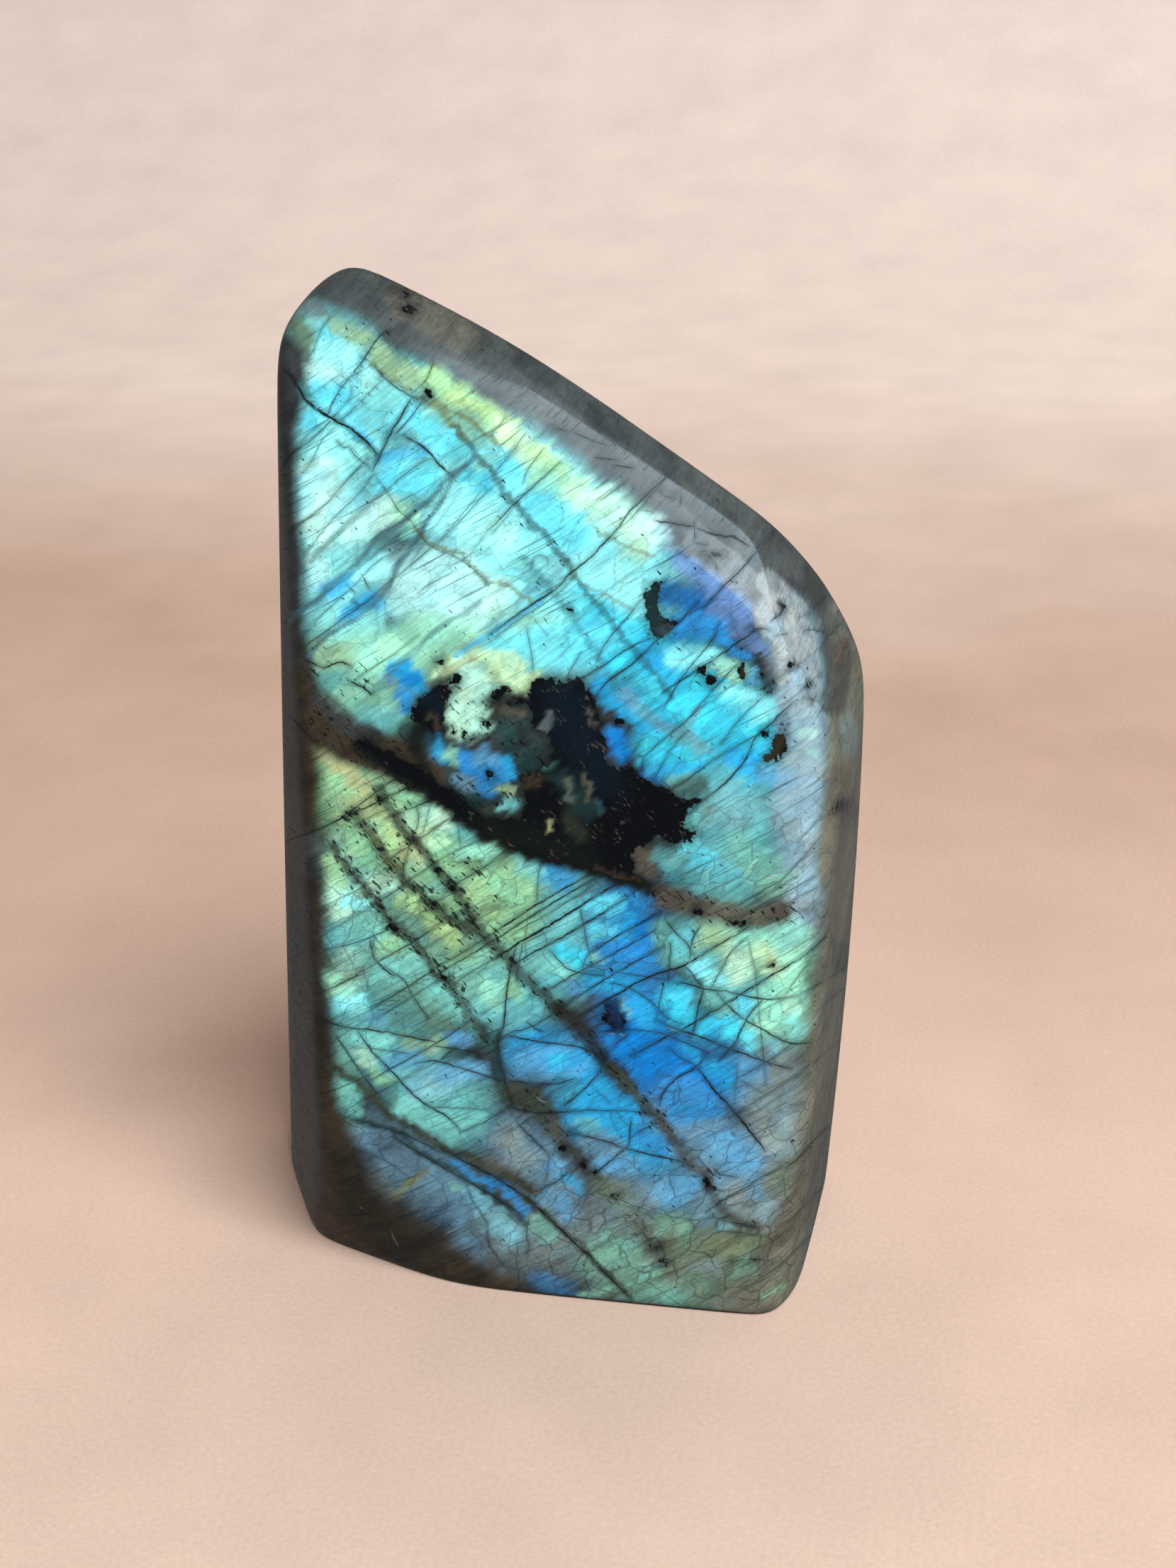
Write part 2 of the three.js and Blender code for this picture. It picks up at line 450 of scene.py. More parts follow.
flashPatches = [
    # The upper left corner.
    ("pewter", 20, 0.9, [(430, 434), (446, 442)]),
    ("moss", 26, 0.85, [(418, 462), (430, 480), (430, 504)]),
    ("sage", 26, 0.85, [(475, 458), (505, 476), (540, 500), (575, 530)]),
    ("sage", 22, 0.8, [(545, 505), (575, 528), (600, 545)]),
    ("cyan", 16, 0.8, [(458, 472), (464, 484)]),
    ("brightCyan", 22, 0.4, [(482, 568), (500, 594)]),
    ("aqua", 15, 0.5, [(572, 752), (594, 738)]),
    ("iceWhite", 24, 0.9, [(462, 496), (486, 500)]),
    ("pearl", 26, 0.9, [(444, 524), (470, 530)]),
    ("cyan", 24, 0.9, [(446, 552), (478, 556)]),
    ("iceWhite", 24, 0.8, [(506, 528), (530, 536)]),
    ("aqua", 30, 0.7, [(545, 556), (565, 570)]),
    ("turquoise", 30, 0.8, [(515, 580), (542, 598)]),
    ("azure", 14, 0.6, [(508, 610), (520, 620)]),
    ("cyan", 24, 0.85, [(434, 590), (446, 600)]),
    ("pearl", 46, 0.95, [(448, 668), (462, 704)]),
    ("pearl", 34, 0.9, [(440, 735), (455, 755)]),
    ("pearl", 24, 0.8, [(440, 790), (454, 815)]),
    ("azure", 16, 0.6, [(545, 648), (590, 640)]),
    ("cyan", 38, 0.9, [(555, 682), (602, 672)]),
    ("pearl", 40, 0.85, [(505, 745), (540, 722)]),
    ("mint", 20, 0.7, [(565, 722), (580, 728)]),
    ("cyan", 22, 0.8, [(588, 594), (600, 604)]),
    ("teal", 26, 0.5, [(560, 618), (590, 632)]),
    ("cyan", 34, 0.8, [(615, 610), (640, 635)]),
    ("seafoam", 26, 0.85, [(612, 562), (645, 590), (675, 615)]),
    # The green fringe under the slanted top.
    ("lime", 26, 0.95, [(612, 536), (640, 552), (680, 578), (710, 600)]),
    ("limeMilk", 28, 0.95, [(710, 606), (735, 630), (754, 652)]),
    ("lime", 22, 0.85, [(757, 640), (785, 664)]),
    ("mint", 28, 0.9, [(740, 672), (795, 690)]),
    ("lime", 20, 0.5, [(800, 674), (850, 702)]),
    # This glacier stroke along the ridge is partly the flash and partly a painted reflection of the
    # window.
    ("glacier", 44, 0.85, [(825, 705), (870, 730), (905, 762)]),
    ("cyan", 24, 0.7, [(708, 655), (728, 676)]),
    ("cyan", 44, 0.8, [(765, 715), (800, 748)]),
    ("brightCyan", 20, 0.7, [(662, 670), (682, 682)]),
    ("iceWhite", 50, 0.7, [(630, 730), (700, 745)]),
    ("pearl", 64, 0.95, [(580, 825), (630, 830), (672, 842)]),
    ("pearl", 34, 0.8, [(612, 792), (650, 800)]),
    ("azure", 20, 0.8, [(462, 834), (492, 822)]),
    ("azure", 20, 0.85, [(488, 866), (525, 848)]),
    ("iceWhite", 22, 0.8, [(515, 815), (545, 800)]),
    ("turquoise", 24, 0.8, [(742, 805), (760, 832)]),
    ("cyan", 45, 0.75, [(710, 905), (780, 915), (850, 900)]),
    ("iceWhite", 40, 0.6, [(840, 800), (890, 842)]),
    # The green corner above the dark seam.
    ("sage", 34, 0.85, [(450, 922), (486, 930)]),
    ("seaTeal", 28, 0.85, [(460, 960), (486, 968)]),
    ("turquoise", 26, 0.8, [(522, 1010), (545, 1020)]),
    ("seafoam", 30, 0.7, [(490, 988), (532, 975)]),
    ("mint", 34, 0.8, [(515, 915), (560, 920)]),
    ("azure", 24, 1.0, [(566, 946), (586, 962)]),
    ("vividBlue", 12, 0.8, [(570, 966), (588, 958)]),
    ("blue", 18, 0.95, [(568, 985), (572, 1002)]),
    ("lavender", 10, 0.5, [(545, 955), (552, 965)]),
    # Round the black minerals.
    ("limeMilk", 16, 0.85, [(625, 945), (655, 930), (690, 926), (735, 934)]),
    ("tan", 6, 0.6, [(628, 951), (650, 938), (672, 930)]),
    ("glacier", 30, 0.95, [(660, 955), (682, 965), (658, 986)]),
    ("limeMilk", 26, 0.9, [(705, 950), (742, 958)]),
    ("glacier", 28, 0.95, [(648, 1006), (650, 1022), (674, 1014)]),
    ("glacier", 18, 0.8, [(660, 1030), (682, 1028)]),
    ("inkTeal", 42, 1.0, [(725, 1025), (735, 1060), (750, 1080)]),
    ("darkMoss", 22, 0.8, [(704, 1004), (724, 1008)]),
    ("clay", 12, 0.6, [(712, 1000), (736, 1006)]),
    ("bark", 16, 0.7, [(735, 1030), (742, 1052)]),
    ("inkTeal", 28, 1.0, [(590, 1052), (640, 1105), (690, 1140)]),
    ("azure", 20, 0.9, [(612, 1052), (620, 1066)]),
    ("seafoam", 16, 0.85, [(636, 1060), (642, 1072)]),
    ("blue", 20, 0.95, [(656, 1064), (666, 1084)]),
    ("skyBlue", 22, 0.9, [(682, 1070), (692, 1084)]),
    ("blue", 18, 0.9, [(664, 1092), (710, 1096)]),
    ("azure", 14, 0.8, [(710, 1078), (718, 1092)]),
    ("steel", 16, 0.8, [(645, 1104), (662, 1108)]),
    ("blue", 14, 0.7, [(676, 1112), (692, 1116)]),
    ("sage", 12, 0.7, [(706, 1114), (718, 1118)]),
    ("darkMoss", 20, 0.8, [(690, 1142), (735, 1146)]),
    ("turquoise", 16, 0.8, [(714, 1136), (728, 1134)]),
    ("umber", 18, 0.8, [(742, 1100), (752, 1104)]),
    ("inkTeal", 24, 0.9, [(572, 1034), (600, 1052)]),
    # Blue and cyan cells right of the minerals.
    ("azure", 26, 0.9, [(845, 968), (872, 988), (902, 1004)]),
    ("vividBlue", 24, 0.9, [(868, 1040), (880, 1062)]),
    ("deepBlue", 18, 0.8, [(912, 1088), (932, 1100)]),
    ("brightCyan", 16, 0.9, [(855, 938), (880, 930)]),
    ("azure", 34, 0.8, [(915, 925), (948, 945)]),
    ("azure", 22, 0.7, [(905, 1035), (935, 1020)]),
    ("brightCyan", 24, 0.8, [(910, 1000), (942, 990)]),
    ("brightCyan", 44, 0.95, [(925, 1055), (975, 1065)]),
    ("azure", 16, 0.8, [(940, 1086), (982, 1086)]),
    ("iceCyan", 34, 0.9, [(1035, 990), (1075, 1000)]),
    ("brightCyan", 44, 0.9, [(985, 1000), (1025, 1016)]),
    ("azure", 28, 0.8, [(1035, 1065), (1062, 1085)]),
    ("skyBlue", 24, 0.85, [(1080, 1094), (1112, 1098)]),
    ("iceCyan", 26, 0.9, [(955, 925), (992, 930)]),
    ("lime", 20, 0.85, [(1018, 938), (1038, 950)]),
    ("skyBlue", 10, 0.7, [(1062, 950), (1068, 965)]),
    ("paleSky", 16, 0.8, [(1098, 975), (1108, 985)]),
    ("lavender", 14, 0.7, [(1124, 970), (1134, 976)]),
    ("glacier", 14, 0.7, [(1132, 1028), (1145, 1034)]),
    ("mint", 10, 0.6, [(1140, 1060), (1146, 1068)]),
    ("deepBlue", 32, 0.95, [(945, 835), (985, 856)]),
    ("lavender", 24, 0.6, [(966, 790), (1006, 826), (1052, 870)]),
    ("mist", 18, 0.5, [(912, 738), (948, 768)]),
    ("blue", 26, 0.95, [(965, 885), (1015, 890)]),
    ("lavender", 16, 0.4, [(1005, 862), (1040, 888), (1080, 915)]),
    ("blue", 14, 0.8, [(1025, 905), (1052, 925)]),
    ("paleSky", 34, 0.7, [(1025, 1125), (1052, 1142)]),
    ("pewter", 22, 0.5, [(1000, 1150), (1040, 1165)]),
    ("cyan", 22, 0.6, [(972, 1195), (990, 1210)]),
    ("seafoam", 40, 0.75, [(1045, 1200), (1090, 1240)]),
    ("teal", 18, 0.6, [(935, 1218), (955, 1232)]),
    ("mist", 34, 0.5, [(1110, 1130), (1140, 1165)]),
    ("iceCyan", 20, 0.55, [(1014, 932), (1044, 950)]),
    ("turquoise", 20, 0.4, [(928, 1206), (952, 1216)]),
    # The green cells of the lower left.
    ("glacier", 32, 0.3, [(484, 1195), (494, 1300), (488, 1400)]),
    ("seafoam", 28, 0.35, [(478, 1460), (488, 1530), (498, 1590)]),
    ("gold", 20, 0.9, [(452, 1060), (490, 1088), (518, 1112)]),
    ("sage", 18, 0.7, [(468, 1120), (484, 1152)]),
    ("sage", 18, 0.7, [(528, 1096), (560, 1110)]),
    ("gold", 24, 0.6, [(500, 1128), (545, 1150), (590, 1190)]),
    ("paleGreen", 18, 0.8, [(555, 1136), (582, 1128)]),
    ("glacier", 22, 1.0, [(610, 1150), (630, 1153)]),
    ("limeMilk", 20, 0.9, [(578, 1160), (600, 1170)]),
    ("limeMilk", 16, 0.8, [(608, 1190), (626, 1184)]),
    ("lime", 22, 0.9, [(545, 1172), (562, 1188)]),
    ("gold", 16, 0.8, [(574, 1204), (588, 1212)]),
    ("sage", 20, 0.8, [(572, 1230), (592, 1234)]),
    ("lime", 24, 0.8, [(468, 1222), (474, 1246)]),
    ("glacier", 24, 0.9, [(470, 1262), (480, 1290)]),
    ("iceCyan", 20, 0.95, [(490, 1275), (505, 1280)]),
    ("paleGreen", 24, 0.8, [(500, 1195), (520, 1216)]),
    ("glacier", 20, 0.7, [(525, 1246), (552, 1248)]),
    ("lime", 20, 0.85, [(570, 1270), (586, 1284)]),
    ("lime", 26, 0.95, [(612, 1300), (642, 1324)]),
    ("turquoise", 26, 0.8, [(470, 1325), (502, 1318)]),
    ("aqua", 22, 0.8, [(510, 1298), (530, 1310)]),
    ("paleGreen", 22, 0.8, [(545, 1328), (562, 1338)]),
    ("turquoise", 26, 0.7, [(530, 1368), (560, 1362), (590, 1366)]),
    ("iceCyan", 26, 1.0, [(485, 1412), (500, 1418)]),
    ("mint", 22, 0.8, [(468, 1384), (480, 1392)]),
    ("lime", 30, 0.75, [(668, 1255), (692, 1286)]),
    ("paleGreen", 34, 0.8, [(710, 1240), (737, 1266)]),
    ("seafoam", 24, 0.8, [(618, 1256), (636, 1250)]),
    ("mint", 20, 0.7, [(655, 1200), (692, 1200)]),
    ("aqua", 18, 0.6, [(650, 1166), (672, 1178)]),
    ("blue", 26, 0.8, [(772, 1230), (798, 1240)]),
    ("aqua", 20, 0.6, [(735, 1215), (755, 1232)]),
    ("brightCyan", 26, 0.95, [(798, 1340), (812, 1352)]),
    ("paleGreen", 20, 0.7, [(700, 1318), (735, 1322)]),
    ("aqua", 26, 0.7, [(745, 1345), (767, 1356)]),
    ("aqua", 26, 0.7, [(618, 1395), (642, 1416)]),
    ("mint", 24, 0.6, [(685, 1395), (702, 1414)]),
    ("paleGreen", 18, 0.8, [(640, 1350), (665, 1352)]),
    ("paleGreen", 16, 0.7, [(722, 1390), (732, 1404)]),
    ("skyBlue", 16, 0.6, [(522, 1440), (536, 1446)]),
    # The blue lower middle.
    ("cyan", 24, 0.9, [(838, 1274), (870, 1280)]),
    ("cyan", 20, 0.85, [(840, 1314), (872, 1318)]),
    ("mint", 12, 0.7, [(838, 1350), (846, 1352)]),
    ("aqua", 20, 0.7, [(785, 1362), (792, 1378)]),
    ("skyBlue", 18, 0.7, [(803, 1390), (816, 1396)]),
    ("azure", 26, 0.85, [(892, 1288), (888, 1312)]),
    ("deepBlue", 12, 0.7, [(888, 1280), (900, 1286)]),
    ("vividBlue", 20, 0.85, [(906, 1306), (916, 1324)]),
    ("blue", 34, 0.8, [(862, 1345), (902, 1350)]),
    ("azure", 26, 0.8, [(832, 1385), (884, 1388)]),
    ("seaTeal", 26, 0.85, [(935, 1316), (942, 1346)]),
    ("turquoise", 24, 0.8, [(960, 1325), (965, 1345)]),
    ("sage", 26, 0.8, [(998, 1318), (1022, 1335)]),
    ("iceCyan", 22, 0.95, [(985, 1362), (1002, 1375)]),
    ("iceCyan", 16, 0.9, [(1018, 1380), (1030, 1390)]),
    ("glacier", 26, 0.95, [(1038, 1346), (1042, 1374)]),
    ("limeMilk", 30, 0.95, [(1075, 1345), (1094, 1366)]),
    ("gold", 8, 0.7, [(1085, 1355), (1106, 1362)]),
    ("mint", 28, 0.85, [(1112, 1358), (1120, 1388)]),
    ("mint", 24, 0.6, [(1114, 1310), (1132, 1318)]),
    ("brightCyan", 34, 1.0, [(952, 1408), (962, 1430)]),
    ("cyan", 12, 0.5, [(955, 1405), (972, 1412)]),
    ("brightCyan", 26, 0.9, [(1000, 1450), (1036, 1452)]),
    ("cyan", 18, 0.8, [(1045, 1416), (1058, 1422)]),
    ("aqua", 22, 0.6, [(1002, 1408), (1022, 1418)]),
    ("cyan", 20, 0.8, [(1055, 1460), (1062, 1472)]),
    ("paleSky", 18, 0.7, [(1085, 1470), (1096, 1478)]),
    ("azure", 24, 0.9, [(904, 1418), (915, 1440)]),
    ("seafoam", 10, 0.5, [(878, 1418), (886, 1432)]),
    ("navy", 22, 0.8, [(866, 1425), (868, 1448)]),
    ("mint", 24, 0.7, [(1085, 1418), (1090, 1440)]),
    ("glacier", 18, 0.8, [(1112, 1415), (1118, 1428)]),
    ("aqua", 20, 0.5, [(1115, 1450), (1122, 1458)]),
    ("azure", 18, 0.8, [(968, 1478), (986, 1488)]),
    ("azure", 24, 0.9, [(1006, 1508), (1022, 1522)]),
    ("skyBlue", 26, 0.8, [(1050, 1503), (1068, 1522)]),
    ("skyBlue", 24, 0.7, [(1040, 1545), (1066, 1550)]),
    ("deepBlue", 22, 0.7, [(1010, 1470), (1036, 1480)]),
    ("blue", 26, 0.7, [(948, 1546), (982, 1552)]),
    ("skyBlue", 40, 0.7, [(750, 1502), (806, 1496)]),
    ("azure", 18, 0.7, [(775, 1505), (820, 1488)]),
    ("brightCyan", 14, 0.5, [(776, 1498), (790, 1494)]),
    ("teal", 18, 0.6, [(785, 1538), (805, 1540)]),
    ("azure", 34, 0.7, [(838, 1545), (880, 1580)]),
    ("turquoise", 16, 0.6, [(820, 1580), (838, 1590)]),
    ("blue", 24, 0.9, [(903, 1603), (932, 1618)]),
    ("steel", 26, 0.8, [(833, 1613), (865, 1625)]),
    ("skyBlue", 24, 0.8, [(858, 1645), (886, 1648)]),
    ("pewter", 26, 0.6, [(888, 1680), (917, 1690)]),
    ("skyBlue", 28, 0.85, [(938, 1680), (957, 1692)]),
    ("skyBlue", 18, 0.8, [(962, 1664), (975, 1674)]),
    ("blue", 24, 0.85, [(953, 1570), (1002, 1566)]),
    ("steel", 22, 0.8, [(963, 1592), (997, 1594)]),
    ("skyBlue", 42, 0.85, [(1020, 1618), (1056, 1640)]),
    ("silver", 46, 0.8, [(1080, 1558), (1097, 1602)]),
    # The turquoise lower left.
    ("aqua", 24, 0.8, [(512, 1462), (542, 1470)]),
    ("glacier", 14, 0.6, [(506, 1485), (520, 1496)]),
    ("paleGreen", 18, 0.6, [(528, 1510), (542, 1524)]),
    ("sage", 22, 0.7, [(578, 1470), (612, 1474)]),
    ("skyBlue", 16, 0.7, [(635, 1466), (655, 1468)]),
    ("skyBlue", 22, 0.7, [(558, 1498), (590, 1494)]),
    ("paleSky", 34, 0.85, [(590, 1532), (628, 1524)]),
    ("skyBlue", 26, 0.8, [(635, 1515), (677, 1512)]),
    ("aqua", 28, 0.8, [(573, 1563), (610, 1580), (637, 1590)]),
    ("aqua", 20, 0.6, [(655, 1572), (672, 1578)]),
    ("aqua", 24, 0.9, [(487, 1528), (494, 1560)]),
    ("steel", 30, 0.8, [(503, 1605), (508, 1642)]),
    ("slate", 28, 0.6, [(540, 1610), (582, 1630)]),
    ("pewter", 24, 0.7, [(520, 1663), (542, 1680)]),
    ("olive", 7, 0.7, [(556, 1684), (575, 1668), (594, 1657)]),
    ("steel", 18, 0.6, [(610, 1662), (630, 1668)]),
    ("seafoam", 10, 0.7, [(634, 1678), (650, 1680)]),
    ("paleSky", 18, 0.6, [(665, 1680), (682, 1698)]),
    ("silver", 34, 0.85, [(720, 1610), (737, 1636)]),
    ("skyBlue", 18, 0.7, [(778, 1643), (790, 1660)]),
    ("azure", 16, 0.6, [(800, 1660), (814, 1673)]),
    # The foot.
    ("blue", 10, 0.7, [(640, 1646), (690, 1670)]),
    ("blue", 13, 0.8, [(692, 1666), (714, 1683), (740, 1704)]),
    ("paleSky", 30, 0.85, [(698, 1720), (722, 1736)]),
    ("seafoam", 24, 0.6, [(758, 1724), (774, 1738)]),
    ("steel", 18, 0.6, [(638, 1733), (655, 1724)]),
    ("smoke", 40, 0.8, [(560, 1715), (600, 1740), (640, 1775)]),
    ("navy", 20, 0.35, [(605, 1710), (632, 1724)]),
    ("steel", 26, 0.75, [(650, 1757), (674, 1779)]),
    ("silver", 16, 0.7, [(690, 1797), (704, 1800)]),
    ("blue", 20, 0.4, [(755, 1806), (800, 1818)]),
    ("skyBlue", 22, 0.5, [(768, 1690), (802, 1710)]),
    ("seafoam", 30, 0.7, [(853, 1760), (887, 1772)]),
    ("seafoam", 24, 0.5, [(938, 1722), (962, 1732)]),
    ("steel", 18, 0.5, [(983, 1710), (997, 1718)]),
    ("paleSky", 12, 0.6, [(1018, 1726), (1026, 1730)]),
    ("silver", 34, 0.8, [(1043, 1688), (1072, 1712)]),
    ("skyBlue", 14, 0.5, [(1056, 1674), (1074, 1684)]),
    ("greyGreen", 26, 0.7, [(1095, 1665), (1117, 1675)]),
    ("silver", 18, 0.7, [(983, 1786), (1010, 1788)]),
    ("seafoam", 20, 0.5, [(1050, 1790), (1068, 1794)]),
    ("olive", 26, 0.4, [(1015, 1752), (1060, 1760)]),
    ("moss", 26, 0.5, [(958, 1755), (992, 1765)]),
    ("seafoam", 7, 0.6, [(888, 1812), (936, 1790)]),
    ("seafoam", 9, 0.8, [(816, 1829), (864, 1819)]),
    ("seafoam", 24, 0.4, [(923, 1815), (957, 1828)]),
    ("pewter", 16, 0.6, [(1015, 1843), (1062, 1842)]),
]

# The dark rims that frame the flash, and the flanks' colours, partly their own and partly a painted
# reflection of the floor in the polish.
rims = [
    ("smoke", 47, 1.0, [(397, 510), (396, 550), (383, 600), (386, 700), (389, 760), (395, 800),
                        (397, 900), (408, 960)]),
    ("peat", 66, 1.0, [(398, 980), (404, 1080), (400, 1180), (402, 1220), (412, 1290), (408, 1350),
                       (410, 1400), (424, 1450), (428, 1550), (443, 1600), (458, 1650)]),
    ("peat", 84, 1.0, [(456, 1655), (472, 1700), (540, 1772), (620, 1812), (690, 1856)]),
    ("bark", 44, 0.45, [(500, 1650), (530, 1715), (590, 1760)]),
    ("smoke", 34, 0.5, [(420, 1290), (425, 1350), (430, 1400)]),
    ("slate", 24, 0.35, [(436, 1190), (438, 1225)]),
    ("chestnut", 22, 0.5, [(398, 1470), (408, 1600), (430, 1690), (484, 1752), (545, 1790)]),
    ("chestnut", 16, 0.6, [(398, 990), (398, 1060)]),
    ("clay", 26, 0.6, [(455, 1015), (485, 1035)]),
    ("peat", 40, 1.0, [(430, 1012), (500, 1050), (560, 1072), (600, 1092)]),
    ("smoke", 20, 0.7, [(452, 985), (490, 1020), (520, 1040)]),
    ("flint", 44, 1.0, [(420, 384), (470, 392), (520, 408)]),
    ("flint", 86, 1.0, [(470, 366), (540, 402), (590, 428), (640, 454), (690, 484), (740, 518),
                        (790, 548), (842, 588), (896, 620), (950, 650), (1004, 688), (1048, 736),
                        (1070, 770)]),
    ("clay", 34, 0.6, [(570, 425), (620, 455), (650, 470)]),
    ("flint", 14, 0.6, [(538, 466), (580, 488), (620, 512)]),
    ("smoke", 20, 0.8, [(740, 510), (800, 552), (850, 590), (905, 628), (960, 668)]),
    ("flint", 56, 1.0, [(1000, 668), (1055, 704), (1106, 744), (1150, 790), (1186, 842), (1204, 880)]),
    ("ash", 88, 1.0, [(1226, 1180), (1228, 1300), (1220, 1350), (1212, 1400), (1202, 1460),
                      (1196, 1550), (1186, 1620), (1170, 1700), (1144, 1770), (1114, 1830),
                      (1074, 1870)]),
    ("clay", 26, 0.5, [(1150, 1640), (1130, 1700), (1100, 1740)]),
]

# The flanks' edges. The first four strokes are a painted reflection of the window on the bevel, over
# the flash;
# the mist stroke under them is partly that painted reflection and partly the flash; the thin sage line
# on
# the rim is a painted glint; the others give the flanks' colours, partly their own, partly a painted
# reflection of the floor.
flankEdges = [
    ("windowReflection", 26, 0.16, [(934, 718), (985, 765), (1035, 808), (1076, 850)]),
    ("windowReflection", 24, 0.22, [(986, 764), (1024, 798), (1062, 832), (1090, 858)]),
    ("windowReflection", 19, 0.7, [(1082, 822), (1098, 836), (1122, 860)]),
    ("windowReflection", 34, 0.8, [(1092, 866), (1116, 896), (1126, 935), (1126, 975)]),
    ("mist", 34, 0.45, [(1126, 975), (1126, 1040), (1124, 1100)]),
    ("ash", 58, 1.0, [(1220, 880), (1220, 960), (1219, 1060), (1215, 1150), (1205, 1220)]),
    ("flint", 22, 0.7, [(1180, 880), (1182, 940), (1176, 990)]),
    ("silver", 14, 0.5, [(1196, 1020), (1200, 1055)]),
    ("clay", 26, 0.6, [(1180, 1100), (1190, 1150)]),
    ("chestnut", 7, 0.5, [(1190, 900), (1183, 940)]),
    ("flint", 14, 0.8, [(1186, 1340), (1184, 1365)]),
    ("sage", 5, 0.5, [(1077, 1829), (1108, 1813)]),
]

